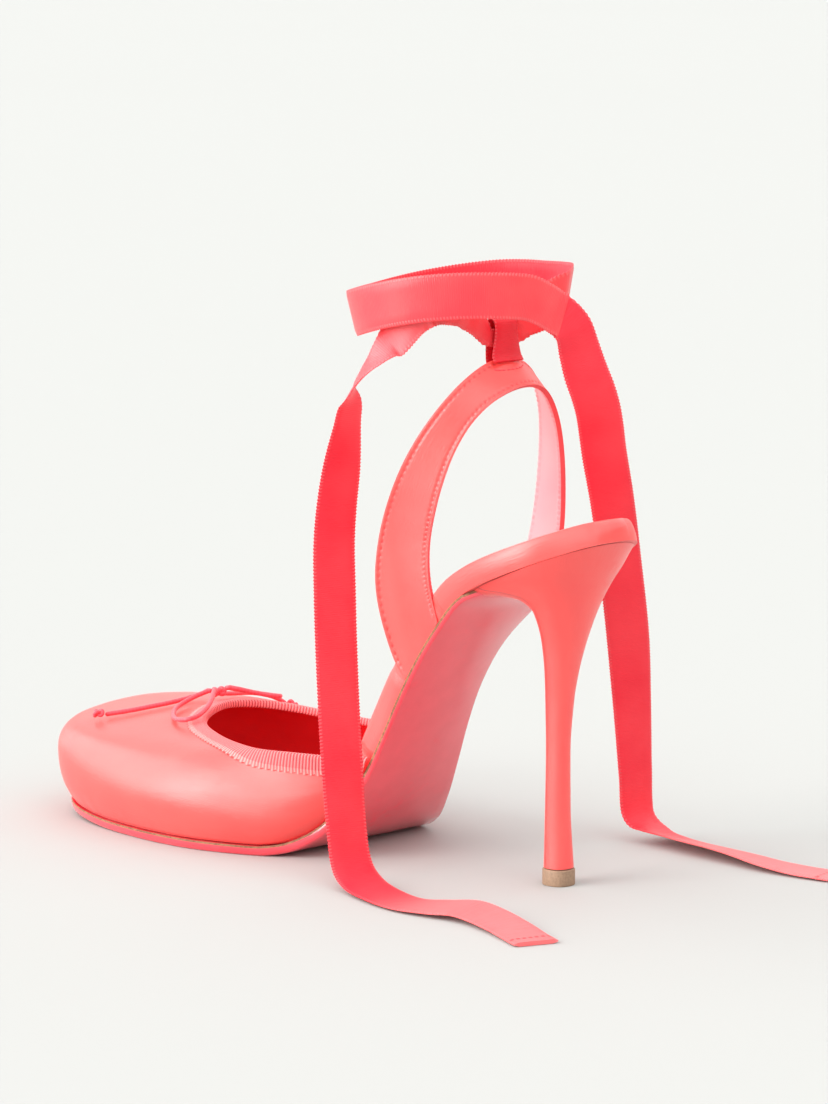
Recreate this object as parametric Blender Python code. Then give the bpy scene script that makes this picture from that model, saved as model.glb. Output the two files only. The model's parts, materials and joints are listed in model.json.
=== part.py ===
"""Satin ballet pump on a slim high heel, for the left foot: a square-toed vamp with a ribbed
topline binding and a cord bow, an open back, a back strap that stands up as an arch over the
heel seat, and a ribbon that runs through the strap's loop, once round the ankle and down to
the floor on both sides.

Metres, +Z up, floor at Z = 0. The toe points to -Y and the wearer's left is +X.
Places on the sole are shares: along runs from the toe (0) to the back of the seat (1),
and side is a share of the ball width, positive to the left.
"""

import math

import bmesh
import bpy
from mathutils import Vector

MM = 0.001
GAP = 0.0003  # between pieces that touch

# Driving dimensions of the shoe
LENGTH = 0.211  # sole, toe to the back of the seat, on the floor's plan
BALL_WIDTH = 0.083
SEAT_HEIGHT = 0.1022  # underside of the insole at the back of the seat
OUTSOLE = 0.003
WAIST_OUTSOLE = 0.0018
RIM = 0.0067  # insole with its satin wrap, at the heel seat
DISH = 0.0010  # hollow of the footbed
TIP_FROM_BACK = 0.021  # middle of the top piece to the back of the seat
EDGE_MARGIN = 0.0006  # the vamp stands this far inside the outsole's edge

VAMP_WALL = 0.0016
THROAT_HEIGHT = 0.0350
TOE_BULGE = 0.0045
SIDE_BULGE = 0.0033
BINDING_WIDTH = 0.0052
BINDING_SHARE = 0.5  # most of the wall's height that it takes, at the low wings
BINDING_INNER = 0.0022
BINDING = 0.0008

STRAP_RISE = 0.0508  # top edge of the strap above the back of the seat
STRAP_WALL = 0.0016
LOOP_WIDTH = 0.0093
LOOP_WALL = 0.0009

BREAST = 0.806  # along share where the outsole ends and the heel begins
HEEL_WIDTH = 0.0432  # at the seat
HEEL_SET_IN = 0.0012  # back of the heel's top, inside the seat's edge
STEM_WIDTH = 0.0067  # the thinnest part of the heel
TOP_PIECE_WIDTH = 0.0090
TOP_PIECE_HEIGHT = 0.0048

RIBBON_WIDTH = 0.0135
RIBBON = 0.0008
RING_RADIUS = 0.0320
RING_LIFT = 0.0185  # middle of the ribbon's turn above the strap's top edge
RING_AHEAD = 0.0162  # middle of the turn ahead of the strap's top edge

CORD_DIAMETER = 0.0019
KNOT_WIDTH = 0.0050
TAIL_KNOT_WIDTH = 0.0040

# The frame's origin is the middle of the object's floor plan.
SIDE_SHIFT = -0.0033
ALONG_SHIFT = 0.0022

# Each row is a section of the sole: along and side of its left edge, then of its right edge.
SECTIONS = [
    (1.000, 0.012, 1.000, 0.012),
    (0.994, 0.108, 0.998, -0.090),
    (0.969, 0.199, 0.979, -0.181),
    (0.934, 0.259, 0.944, -0.242),
    (0.886, 0.289, 0.896, -0.263),
    (0.834, 0.289, 0.844, -0.247),
    (0.777, 0.277, 0.787, -0.195),
    (0.720, 0.264, 0.735, -0.148),
    (0.664, 0.256, 0.682, -0.152),
    (0.616, 0.260, 0.630, -0.200),
    (0.569, 0.301, 0.583, -0.260),
    (0.521, 0.369, 0.536, -0.328),
    (0.474, 0.439, 0.483, -0.388),
    (0.422, 0.494, 0.427, -0.434),
    (0.365, 0.530, 0.370, -0.458),
    (0.303, 0.540, 0.308, -0.460),
    (0.242, 0.533, 0.246, -0.455),
    (0.185, 0.516, 0.190, -0.443),
    (0.133, 0.487, 0.137, -0.420),
    (0.085, 0.441, 0.090, -0.383),
    (0.045, 0.366, 0.047, -0.320),
    (0.015, 0.253, 0.017, -0.229),
    (0.002, 0.118, 0.002, -0.127),
    (0.000, -0.012, 0.000, -0.012),
]
TOE = len(SECTIONS) - 1  # station of the toe's middle; the right side runs on past it
ROUND = 2 * TOE  # stations right round the edge

# Feather line, where the upper meets the outsole: along, and share of its rise to the seat.
FEATHER = [
    (0.000, 0.0323),
    (0.057, 0.0192),
    (0.133, 0.0071),
    (0.209, 0.0010),
    (0.284, 0.0),
    (0.470, 0.0),
    (0.502, 0.0090),
    (0.540, 0.0460),
    (0.578, 0.1220),
    (0.616, 0.2300),
    (0.654, 0.3659),
    (0.692, 0.5080),
    (0.730, 0.6280),
    (0.768, 0.7258),
    (0.806, 0.8085),
    (0.844, 0.8569),
    (0.886, 0.8962),
    (0.929, 0.9335),
    (0.970, 0.9708),
    (1.000, 1.0),
]
# Thickness along the sole: along, outsole share between waist and forepart, insole share.
THICKNESS = [
    (0.00, 1.0, 0.46),
    (0.48, 1.0, 0.46),
    (0.58, 0.6, 0.72),
    (0.66, 0.0, 1.00),
    (0.80, 0.0, 1.00),
    (1.00, 0.0, 1.00),
]
# Side of a plate from its lower to its upper edge: set-in and lift, as shares.
OUTSOLE_SIDE = [(0.9, 0.0), (0.1, 0.45), (0.0, 1.0)]
INSOLE_SIDE = [(0.25, 0.0), (0.0, 0.35), (0.10, 0.80), (1.0, 1.0)]
OUTSOLE_SET_IN = 0.0012
INSOLE_SET_IN = 0.0013

# Stations of the edge that the upper covers, so the insole stands in by its wall there.
VAMP_FIRST = 9.0
VAMP_LAST = 36.8
VAMP_COLUMNS = 52
VAMP_ROWS = 9
STRAP_LEFT = (6.1, 7.3)
STRAP_RIGHT = (38.45, 39.8)
COVERED = [(5.8, 7.48), (8.5, 37.3), (38.15, 40.15)]
COVER_RAMP = 0.15

# Topline of the vamp: station, along, side, share of the throat's height.
TOPLINE = [
    (9.0, 0.630, 0.271, 0.906),
    (10.5, 0.569, 0.323, 0.892),
    (12.0, 0.509, 0.373, 0.895),
    (13.5, 0.455, 0.389, 0.890),
    (15.0, 0.398, 0.359, 0.887),
    (17.0, 0.336, 0.301, 0.895),
    (19.0, 0.280, 0.229, 0.920),
    (21.0, 0.242, 0.127, 0.961),
    (23.0, 0.227, 0.000, 1.000),
    (25.0, 0.242, -0.114, 0.989),
    (27.0, 0.280, -0.193, 0.961),
    (29.0, 0.327, -0.253, 0.923),
    (31.0, 0.384, -0.301, 0.890),
    (32.5, 0.443, -0.331, 0.878),
    (34.0, 0.507, -0.331, 0.890),
    (35.5, 0.571, -0.287, 0.901),
    (36.8, 0.620, -0.216, 0.915),
]
# Wall of the vamp from feather line to topline: v, then reach inwards, rise and bulge,
# as shares, for its sides and for its toe.
VAMP_FORM = [
    (0.00, 0.00, 0.000, 0.00, 0.000, 0.000, 0.00),
    (0.12, 0.00, 0.160, 0.65, 0.000, 0.200, 0.70),
    (0.26, 0.00, 0.370, 1.00, 0.000, 0.450, 1.00),
    (0.40, 0.07, 0.570, 1.00, 0.005, 0.665, 1.00),
    (0.52, 0.20, 0.730, 0.85, 0.045, 0.810, 0.84),
    (0.62, 0.34, 0.840, 0.60, 0.120, 0.885, 0.55),
    (0.78, 0.63, 0.940, 0.27, 0.380, 0.940, 0.22),
    (1.00, 1.00, 1.000, 0.00, 1.000, 1.000, 0.00),
]
TOE_REACH = 9.0  # stations each side of the toe's middle over which its form is felt
TOE_FADE = 6.0  # the outer ones of them, over which it fades
WING_REACH = 2.5  # stations over which the bulge fades at the wings' ends
WING_START = 8.0  # stations from the toe's middle where the wall turns straight
WING_FADE = 4.0

# Back strap from its left foot over the top to its right foot. Front edge, then rear edge:
# side, along, and share of the height of the strap's top edge. The feet stand on the sole.
STRAP = [
    (0.265, 0.682, 0.417, 0.271, 0.760, 0.540),
    (0.295, 0.660, 0.499, 0.275, 0.754, 0.565),
    (0.313, 0.663, 0.554, 0.277, 0.753, 0.601),
    (0.325, 0.670, 0.607, 0.277, 0.753, 0.653),
    (0.331, 0.679, 0.684, 0.277, 0.762, 0.686),
    (0.325, 0.713, 0.786, 0.271, 0.774, 0.756),
    (0.307, 0.741, 0.847, 0.253, 0.789, 0.821),
    (0.265, 0.767, 0.908, 0.211, 0.806, 0.879),
    (0.187, 0.788, 0.961, 0.151, 0.824, 0.921),
    (0.096, 0.795, 0.992, 0.066, 0.834, 0.939),
    (0.000, 0.797, 1.000, 0.000, 0.837, 0.946),
    (-0.084, 0.794, 0.991, -0.062, 0.836, 0.947),
    (-0.157, 0.788, 0.970, -0.120, 0.832, 0.932),
    (-0.229, 0.775, 0.936, -0.172, 0.826, 0.906),
    (-0.289, 0.760, 0.888, -0.232, 0.818, 0.858),
    (-0.327, 0.747, 0.820, -0.257, 0.814, 0.804),
    (-0.341, 0.738, 0.730, -0.268, 0.812, 0.732),
    (-0.333, 0.728, 0.621, -0.272, 0.810, 0.660),
    (-0.307, 0.718, 0.556, -0.266, 0.806, 0.601),
    (-0.259, 0.709, 0.484, -0.251, 0.799, 0.569),
    (-0.199, 0.706, 0.431, -0.214, 0.789, 0.536),
]
# Loop on the strap's top: distance behind and above the top edge, in loop widths.
LOOP = [
    (0.215, -0.110),
    (0.115, 0.060),
    (0.090, 0.330),
    (0.085, 0.690),
    (0.080, 1.010),
    (0.020, 1.160),
    (-0.110, 1.220),
    (-0.240, 1.160),
    (-0.305, 1.010),
    (-0.310, 0.690),
    (-0.310, 0.330),
    (-0.310, 0.020),
    (-0.280, -0.170),
    (-0.170, -0.310),
]
# Ribbon from the left end's start, through the loop and round the ankle, to the right end's
# start. Side and back from the turn's middle in its radii, rise above the strap's top edge
# in lifts, the direction of the ribbon's width, and shares of its width and thickness.
TURN = [
    (0.944, 0.078, 0.411, 0.00, -0.70, 0.65, 1.00, 1.0),
    (0.931, 0.219, 0.714, 0.24, -0.42, 0.88, 1.00, 1.0),
    (0.894, 0.356, 0.876, 0.15, -0.20, 0.96, 1.00, 1.0),
    (0.797, 0.450, 0.941, 0.10, 0.00, 1.00, 1.00, 1.0),
    (0.672, 0.484, 0.930, 0.05, 0.00, 1.00, 1.00, 1.0),
    (0.531, 0.491, 0.876, 0.05, 0.00, 1.00, 0.97, 1.0),
    (0.400, 0.484, 0.724, 0.20, 0.05, 0.97, 0.86, 1.0),
    (0.325, 0.481, 0.589, 0.22, 0.00, 0.97, 0.72, 1.2),
    (0.250, 0.475, 0.443, 0.15, 0.00, 1.00, 0.54, 1.6),
    (0.178, 0.475, 0.324, 0.00, 0.00, 1.00, 0.40, 2.0),
    (0.000, 0.475, 0.314, 0.00, 0.00, 1.00, 0.40, 2.0),
    (-0.178, 0.488, 0.330, 0.00, 0.00, 1.00, 0.40, 2.0),
    (-0.250, 0.525, 0.470, -0.15, 0.05, 1.00, 0.58, 1.6),
    (-0.325, 0.572, 0.600, -0.22, 0.08, 0.97, 0.76, 1.2),
    (-0.453, 0.641, 0.795, -0.20, 0.08, 0.97, 0.93, 1.0),
    (-0.609, 0.675, 0.930, -0.12, 0.08, 0.99, 1.00, 1.0),
    (-0.725, 0.616, 0.995, -0.12, 0.10, 0.98, 1.00, 1.0),
    (-0.856, 0.503, 1.022, -0.14, 0.08, 0.98, 1.00, 1.0),
    (-0.956, 0.331, 1.016, -0.12, 0.05, 0.99, 1.00, 1.0),
    (-1.005, 0.088, 1.005, 0.00, 0.00, 1.00, 1.00, 1.0),
    (-0.989, -0.174, 1.005, 0.00, 0.00, 1.00, 1.00, 1.0),
    (-0.910, -0.424, 0.984, 0.00, 0.00, 1.00, 1.00, 1.0),
    (-0.770, -0.646, 0.930, 0.00, 0.00, 1.00, 1.00, 1.0),
    (-0.576, -0.823, 0.865, 0.00, 0.00, 1.00, 1.00, 1.0),
    (-0.343, -0.944, 0.795, 0.00, 0.00, 1.00, 1.00, 1.0),
    (-0.088, -1.000, 0.724, 0.00, 0.00, 1.00, 1.00, 1.0),
    (0.175, -0.995, 0.665, 0.00, 0.00, 1.00, 1.00, 1.0),
    (0.427, -0.916, 0.627, 0.08, -0.16, 0.98, 1.00, 1.0),
    (0.652, -0.777, 0.622, 0.14, -0.17, 0.97, 1.00, 1.0),
    (0.835, -0.585, 0.659, 0.19, -0.13, 0.97, 1.00, 1.0),
    (0.972, -0.354, 0.735, 0.14, -0.05, 0.99, 1.00, 1.0),
    (1.045, -0.091, 0.832, 0.05, 0.00, 1.00, 1.00, 1.0),
    (1.045, 0.184, 0.930, 0.00, 0.00, 1.00, 1.00, 1.0),
    (0.962, 0.449, 1.011, 0.00, 0.00, 1.00, 1.00, 1.0),
    (0.807, 0.677, 1.054, 0.00, 0.00, 1.00, 1.00, 1.0),
    (0.597, 0.853, 1.059, 0.00, 0.00, 1.00, 1.00, 1.0),
    (0.375, 0.958, 1.038, -0.08, 0.02, 1.00, 1.00, 1.0),
    (0.172, 0.988, 0.989, -0.25, 0.05, 0.97, 1.00, 1.0),
    (0.009, 1.000, 0.881, -0.50, -0.03, 0.86, 1.00, 1.0),
    (-0.162, 0.981, 0.751, -0.66, -0.06, 0.75, 1.00, 1.0),
    (-0.247, 0.987, 0.681, -0.78, -0.02, 0.63, 1.00, 1.0),
    (-0.291, 1.012, 0.595, -0.85, 0.10, 0.52, 1.00, 1.0),
    (-0.344, 1.016, 0.373, -0.90, 0.17, 0.35, 1.00, 1.0),
]

# The ribbon's two ends and the bow are free cords, so their points stay as chosen:
# millimetres to the left of, behind and above the middle of the heel's tip on the floor,
# then the direction of the ribbon's width.
LEFT_END = [
    (30.5, -36.1, 159.8, 0.00, -0.70, 0.65),
    (30.9, -38.9, 156.6, -0.24, -0.91, 0.34),
    (33.9, -41.3, 152.2, -0.49, -0.87, 0.12),
    (36.9, -43.2, 148.2, -0.61, -0.78, -0.02),
    (39.3, -44.6, 144.0, -0.70, -0.70, -0.14),
    (39.6, -45.6, 139.2, -0.93, -0.32, -0.20),
    (39.9, -46.7, 133.0, -0.96, -0.18, -0.18),
    (40.6, -48.4, 120.3, -0.98, 0.16, -0.08),
    (41.1, -49.9, 109.0, -0.96, 0.26, -0.04),
    (41.3, -50.7, 98.0, -0.95, 0.31, 0.00),
    (41.0, -50.8, 85.0, -0.94, 0.34, 0.00),
    (40.8, -50.5, 70.0, -0.94, 0.34, 0.00),
    (41.2, -49.0, 51.0, -0.95, 0.32, 0.00),
    (41.5, -47.3, 33.0, -0.95, 0.32, 0.00),
    (42.0, -45.2, 17.0, -0.97, 0.25, 0.03),
    (43.6, -41.4, 6.5, -0.97, 0.24, 0.06),
    (47.0, -33.0, 2.3, -0.95, 0.30, 0.08),
    (51.0, -20.5, 1.3, -0.95, 0.30, 0.05),
    (53.2, -8.5, 1.2, -1.00, 0.05, 0.06),
    (52.2, 2.5, 2.0, -0.98, -0.15, 0.12),
    (50.6, 11.5, 2.8, -1.00, -0.05, 0.16),
    (51.0, 20.0, 2.2, -0.99, 0.15, 0.12),
    (53.8, 31.0, 1.4, -0.95, 0.28, 0.06),
    (58.0, 42.0, 0.8, -0.94, 0.30, 0.02),
    (60.6, 48.4, 0.7, -0.94, 0.30, 0.00),
]
RIGHT_END = [
    (-11.1, -5.5, 159.6, -0.90, 0.18, 0.34),
    (-13.3, -5.4, 153.9, -0.91, 0.33, 0.20),
    (-15.5, -4.9, 147.5, -0.87, 0.50, 0.12),
    (-18.2, -4.6, 141.8, -0.83, 0.55, 0.10),
    (-21.4, -5.4, 136.0, -0.80, 0.58, 0.10),
    (-24.8, -7.2, 129.6, -0.75, 0.65, 0.10),
    (-28.1, -9.0, 122.3, -0.80, 0.60, 0.09),
    (-35.0, -12.0, 107.2, -0.85, 0.52, 0.08),
    (-42.6, -15.8, 88.2, -0.87, 0.49, 0.06),
    (-50.1, -19.3, 65.4, -0.86, 0.50, 0.05),
    (-56.0, -22.6, 42.3, -0.96, 0.27, 0.03),
    (-60.6, -25.3, 21.5, -0.99, 0.10, -0.02),
    (-62.9, -26.1, 8.5, -0.99, 0.08, -0.08),
    (-64.8, -20.8, 3.4, -0.98, 0.08, -0.16),
    (-64.2, -12.0, 2.4, -0.97, 0.06, -0.22),
    (-62.6, -2.0, 2.3, -0.97, -0.02, -0.22),
    (-61.8, 8.5, 2.2, -0.98, 0.00, -0.20),
    (-61.2, 19.0, 1.8, -0.99, -0.02, -0.14),
    (-60.0, 30.0, 1.3, -1.00, 0.06, -0.08),
    (-60.6, 41.0, 0.8, -1.00, 0.08, -0.02),
    (-62.6, 53.0, 0.7, -0.98, 0.18, 0.00),
]
# Cords of the bow: station, share up the vamp's wall, and millimetres off its surface.
BOW_LOOP_LEFT = [
    (22.85, 0.953, 3.7),
    (22.30, 0.940, 2.9),
    (21.60, 0.926, 1.9),
    (20.85, 0.922, 1.5),
    (20.00, 0.924, 1.4),
    (19.20, 0.926, 1.6),
    (18.70, 0.936, 2.1),
    (18.60, 0.956, 2.6),
    (19.00, 0.980, 2.7),
    (19.60, 0.998, 3.0),
    (20.40, 1.010, 3.5),
    (21.30, 1.010, 4.1),
    (22.00, 1.000, 4.7),
    (22.42, 0.990, 4.9),
]
BOW_LOOP_RIGHT = [
    (23.72, 0.972, 4.2),
    (24.20, 0.976, 3.7),
    (24.90, 0.972, 3.0),
    (25.60, 0.958, 2.5),
    (26.20, 0.946, 2.3),
    (26.60, 0.950, 2.3),
    (26.75, 0.974, 2.6),
    (26.40, 0.998, 2.8),
    (25.60, 1.010, 3.2),
    (24.70, 1.016, 3.9),
    (24.00, 1.008, 4.7),
    (23.52, 0.993, 5.1),
]
BOW_TAIL_LEFT = [
    (23.25, 0.930, 3.1),
    (23.02, 0.913, 1.9),
    (22.60, 0.903, 1.4),
    (22.10, 0.895, 1.3),
    (21.55, 0.880, 1.3),
    (21.00, 0.855, 1.3),
    (20.50, 0.825, 1.3),
    (20.10, 0.785, 1.3),
    (19.75, 0.735, 1.4),
]
BOW_TAIL_RIGHT = [
    (23.62, 0.932, 3.0),
    (24.30, 0.915, 1.7),
    (25.20, 0.890, 1.3),
    (26.20, 0.840, 1.3),
    (27.10, 0.760, 1.3),
    (27.80, 0.660, 1.3),
    (28.30, 0.560, 1.4),
]

# Heel from the seat down to its tip: share of the fall, then front and back from the tip's
# middle in seat half widths, half width as a share between stem and seat, and squareness.
HEEL = [
    (0.000, -0.930, 0.890, 1.000, 5.0),
    (0.020, -0.810, 0.815, 0.945, 4.6),
    (0.050, -0.525, 0.730, 0.814, 4.2),
    (0.090, -0.255, 0.640, 0.595, 3.8),
    (0.140, -0.150, 0.550, 0.414, 3.4),
    (0.200, -0.150, 0.458, 0.277, 3.0),
    (0.270, -0.160, 0.360, 0.167, 2.8),
    (0.350, -0.165, 0.262, 0.097, 2.6),
    (0.450, -0.180, 0.192, 0.036, 2.6),
    (0.620, -0.183, 0.140, 0.000, 2.6),
    (0.800, -0.185, 0.140, 0.015, 2.6),
    (1.000, -0.195, 0.195, 0.045, 2.6),
]
HEEL_MIDDLE = 0.006  # side share of the seat's middle
HEEL_BACK_SQUARENESS = 2.2

SATIN = (1.0, 0.135, 0.120)
RIBBON_RED = (0.93, 0.055, 0.080)
BINDING_PINK = (0.90, 0.190, 0.180)
SOLE_RED = (0.62, 0.035, 0.055)
RUBBER_TAN = (0.42, 0.285, 0.175)


def read(rows, t, steady=False):
    """The columns after the first, at t, on a smooth curve through the rows. A steady curve
    never swings past its rows."""
    places = [row[0] for row in rows]
    t = min(max(t, places[0]), places[-1])
    i = max(k for k in range(len(rows) - 1) if places[k] <= t)
    step = places[i + 1] - places[i]
    s = (t - places[i]) / step

    def slope(k, column):
        if k in (0, len(rows) - 1):
            a, b = (0, 1) if k == 0 else (k - 1, k)
            return (rows[b][column] - rows[a][column]) / (places[b] - places[a])
        before = (rows[k][column] - rows[k - 1][column]) / (places[k] - places[k - 1])
        after = (rows[k + 1][column] - rows[k][column]) / (places[k + 1] - places[k])
        if not steady:
            return (rows[k + 1][column] - rows[k - 1][column]) / (places[k + 1] - places[k - 1])
        if before * after <= 0:
            return 0.0
        return 2 * before * after / (before + after)

    found = []
    for column in range(1, len(rows[0])):
        low, high = rows[i][column], rows[i + 1][column]
        found.append(
            (2 * s**3 - 3 * s**2 + 1) * low
            + (s**3 - 2 * s**2 + s) * step * slope(i, column)
            + (3 * s**2 - 2 * s**3) * high
            + (s**3 - s**2) * step * slope(i + 1, column)
        )
    return found


def smooth_step(t):
    """0 below 0, 1 above 1, and an S between."""
    t = min(max(t, 0.0), 1.0)
    return t * t * (3 - 2 * t)


def numbered(rows):
    """The rows with their own number first, as places along a curve."""
    return [(float(k), *row) for k, row in enumerate(rows)]


def along_to_y(along):
    return (along - 0.5) * LENGTH + ALONG_SHIFT


def side_to_x(side):
    return side * BALL_WIDTH + SIDE_SHIFT


TIP = Vector((SIDE_SHIFT, along_to_y(1.0) - TIP_FROM_BACK, 0.0))

# The edge right round: along and side at each station, and three more so that it closes.
AROUND = [row[:2] for row in SECTIONS] + [row[2:] for row in SECTIONS[-2:0:-1]]
EDGE = [(float(k), *AROUND[k % ROUND]) for k in range(-2, ROUND + 3)]


def edge(q, inset=0.0):
    """The sole's edge in plan at station q, moved inwards by inset."""
    q %= ROUND
    along, side = read(EDGE, q)
    ahead = read(EDGE, q + 0.05)
    behind = read(EDGE, q - 0.05)
    run = Vector(((ahead[1] - behind[1]) * BALL_WIDTH, (ahead[0] - behind[0]) * LENGTH))
    outward = Vector((-run.y, run.x)).normalized()
    place = Vector((side_to_x(side), along_to_y(along)))
    return place - outward * inset


def edge_outward(q):
    return (edge(q, -1.0) - edge(q)).to_3d()


def feather_height(y):
    along = (y - ALONG_SHIFT) / LENGTH + 0.5
    return OUTSOLE + (SEAT_HEIGHT - OUTSOLE) * read(FEATHER, along, steady=True)[0]


def on_sole(place, lift=0.0):
    """A point of the plan raised onto the feather surface, then off it along its normal."""
    nearby = 0.5 * MM
    rise = feather_height(place.y + nearby) - feather_height(place.y - nearby)
    normal = Vector((0.0, -rise, 2 * nearby)).normalized()
    return Vector((place.x, place.y, feather_height(place.y))) + normal * lift


def topline(q):
    along, side, height = read(TOPLINE, q)
    return Vector((side_to_x(side), along_to_y(along), height * THROAT_HEIGHT))


def upper(q, v):
    """Outside of the vamp: station q along its feather line, v from there to the topline."""
    foot = on_sole(edge(q, EDGE_MARGIN), 1.5 * GAP)
    top = topline(q)
    form = read(VAMP_FORM, v)
    toe = smooth_step((TOE_REACH - abs(q - TOE)) / TOE_FADE)
    reach, rise, bulge = (form[k] + (form[k + 3] - form[k]) * toe for k in range(3))
    wing = smooth_step((abs(q - TOE) - WING_START) / WING_FADE)
    reach += (v - reach) * wing
    rise += (v - rise) * wing
    bulge *= SIDE_BULGE + (TOE_BULGE - SIDE_BULGE) * toe
    bulge *= smooth_step((q - VAMP_FIRST) / WING_REACH) * smooth_step((VAMP_LAST - q) / WING_REACH)
    place = foot + (top - foot) * reach + edge_outward(q) * bulge
    return Vector((place.x, place.y, foot.z + (top.z - foot.z) * rise))


def upper_outward(q, v):
    """The vamp's normal. At its ends and its topline it is that of the last facet's middle."""
    near = 0.02
    facet = (VAMP_LAST - VAMP_FIRST) / VAMP_COLUMNS / 2
    q = min(max(q, VAMP_FIRST + facet), VAMP_LAST - facet)
    v = min(max(v, near), 1 - 0.5 / VAMP_ROWS)
    run = upper(q + near, v) - upper(q - near, v)
    climb = upper(q, v + near) - upper(q, v - near)
    return climb.cross(run).normalized()


def off_upper(q, v, lift):
    """A point off the vamp's outside. Above the topline it goes on as the wall leaves it."""
    outward = upper_outward(q, v)
    place = upper(q, min(v, 1.0))
    if v > 1:
        place += (upper(q, 1.0) - upper(q, 0.9)) * ((v - 1) / 0.1)
    return place + outward * lift


def strap_row(t):
    """Front and rear edge of the strap at t, from the left foot (0) to the right foot (1)."""
    height = SEAT_HEIGHT + STRAP_RISE
    last = len(STRAP) + 1
    rows = []
    for k, row in enumerate(STRAP):
        front = (side_to_x(row[0]), along_to_y(row[1]), row[2] * height)
        rear = (side_to_x(row[3]), along_to_y(row[4]), row[5] * height)
        rows.append((k + 1.0, *front, *rear))
    feet = ((0.0, STRAP_LEFT[1], STRAP_LEFT[0]), (float(last), STRAP_RIGHT[0], STRAP_RIGHT[1]))
    ends = []
    for place, front, rear in feet:
        ends.append((
            place,
            *on_sole(edge(front, EDGE_MARGIN), 2 * GAP),
            *on_sole(edge(rear, EDGE_MARGIN), 2 * GAP),
        ))
    found = read([ends[0], *rows, ends[1]], t * last)
    return Vector(found[:3]), Vector(found[3:])


def strap(t, s):
    """Outside of the strap, s from its rear edge (0) to its front edge (1)."""
    front, rear = strap_row(t)
    return rear.lerp(front, s)


def strap_top():
    return strap(0.5, 1.0)


def from_tip(left, back, up):
    """Millimetres from the middle of the heel's tip, on the floor."""
    return TIP + Vector((left, back, up)) * MM


def material(name, colour, roughness, metallic=0.0):
    made = bpy.data.materials.new(name)
    made.use_nodes = True
    shader = made.node_tree.nodes["Principled BSDF"]
    shader.inputs["Base Color"].default_value = (*colour, 1.0)
    shader.inputs["Roughness"].default_value = roughness
    shader.inputs["Metallic"].default_value = metallic
    return made


def make_object(name, bm, colour, roughness, smooth=True):
    """An object of this bmesh, with its normals outward and a material of its own."""
    bmesh.ops.remove_doubles(bm, verts=bm.verts, dist=1e-6)
    bmesh.ops.dissolve_degenerate(bm, edges=bm.edges, dist=1e-6)
    bmesh.ops.recalc_face_normals(bm, faces=bm.faces)
    mesh = bpy.data.meshes.new(name)
    bm.to_mesh(mesh)
    bm.free()
    for face in mesh.polygons:
        face.use_smooth = smooth
    made = bpy.data.objects.new(name, mesh)
    made.data.materials.append(material(name, colour, roughness))
    bpy.context.scene.collection.objects.link(made)
    return made


def sheet(name, surface, columns, rows, wall, colour, roughness):
    """A wall whose outside is surface(u, v), u and v from 0 to 1, thickened inwards."""
    bm = bmesh.new()
    bmesh.ops.create_grid(bm, x_segments=columns, y_segments=rows, size=0.5)
    for vertex in bm.verts:
        vertex.co = surface(vertex.co.x + 0.5, vertex.co.y + 0.5)
    mesh = bpy.data.meshes.new(name)
    bm.to_mesh(mesh)
    bm.free()
    for face in mesh.polygons:
        face.use_smooth = True
    made = bpy.data.objects.new(name, mesh)
    made.data.materials.append(material(name, colour, roughness))
    bpy.context.scene.collection.objects.link(made)
    solid = made.modifiers.new("Wall", "SOLIDIFY")
    solid.thickness = wall
    solid.offset = -1
    solid.use_even_offset = True
    return made


def loft(rings, cap_first=True, cap_last=True):
    """A bmesh skinned over rings of equal length, closed at its ends."""
    bm = bmesh.new()
    loops = [[bm.verts.new(point) for point in ring] for ring in rings]
    count = len(loops[0])
    for low, high in zip(loops, loops[1:]):
        for k in range(count):
            after = (k + 1) % count
            bm.faces.new((low[k], low[after], high[after], high[k]))
    if cap_first:
        bm.faces.new(loops[0][::-1])
    if cap_last:
        bm.faces.new(loops[-1])
    return bm


def cover(q):
    """1 where the upper covers the insole's side at station q, else 0."""
    return max(
        smooth_step((q - first) / COVER_RAMP) * smooth_step((last - q) / COVER_RAMP)
        for first, last in COVERED
    )


def plate_ring(q, right, side_rows, set_in, inset, thickness, low, dish=0.0):
    """A section of a plate between station q on the left and station right.
    Its lower face is at lift low, and its side follows side_rows."""
    across = 4
    stations = (q, right)
    ring = []
    left_side, right_side = (
        [on_sole(edge(p, inset(p) + share * set_in), low(p) + lift * thickness(p))
         for share, lift in side_rows]
        for p in stations
    )
    for face, share in ((1, side_rows[-1][0]), (0, side_rows[0][0])):
        ends = [edge(p, inset(p) + share * set_in) for p in stations]
        lifts = [low(p) + face * thickness(p) for p in stations]
        row = []
        for k in range(1, across):
            s = k / across
            lift = lifts[0] + (lifts[1] - lifts[0]) * s - face * dish * 4 * s * (1 - s)
            row.append(on_sole(ends[0].lerp(ends[1], s), lift))
        if face:
            ring += left_side + row + right_side[::-1]
        else:
            ring += row[::-1]
    return ring


def thickness_at(q, column):
    y = edge(q).y
    return read(THICKNESS, (y - ALONG_SHIFT) / LENGTH + 0.5, steady=True)[column]


def outsole_thickness(q):
    return WAIST_OUTSOLE + (OUTSOLE - WAIST_OUTSOLE) * thickness_at(q, 0)


def stations_between(first, last, step, extra=()):
    count = round((last - first) / step)
    return sorted({first + (last - first) * k / count for k in range(count + 1)} | set(extra))


def station_at(y, low, high):
    """The station between low and high whose edge is at y."""
    rising = edge(high).y > edge(low).y
    for _ in range(30):
        middle = (low + high) / 2
        if (edge(middle).y < y) == rising:
            low = middle
        else:
            high = middle
    return low


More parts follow.
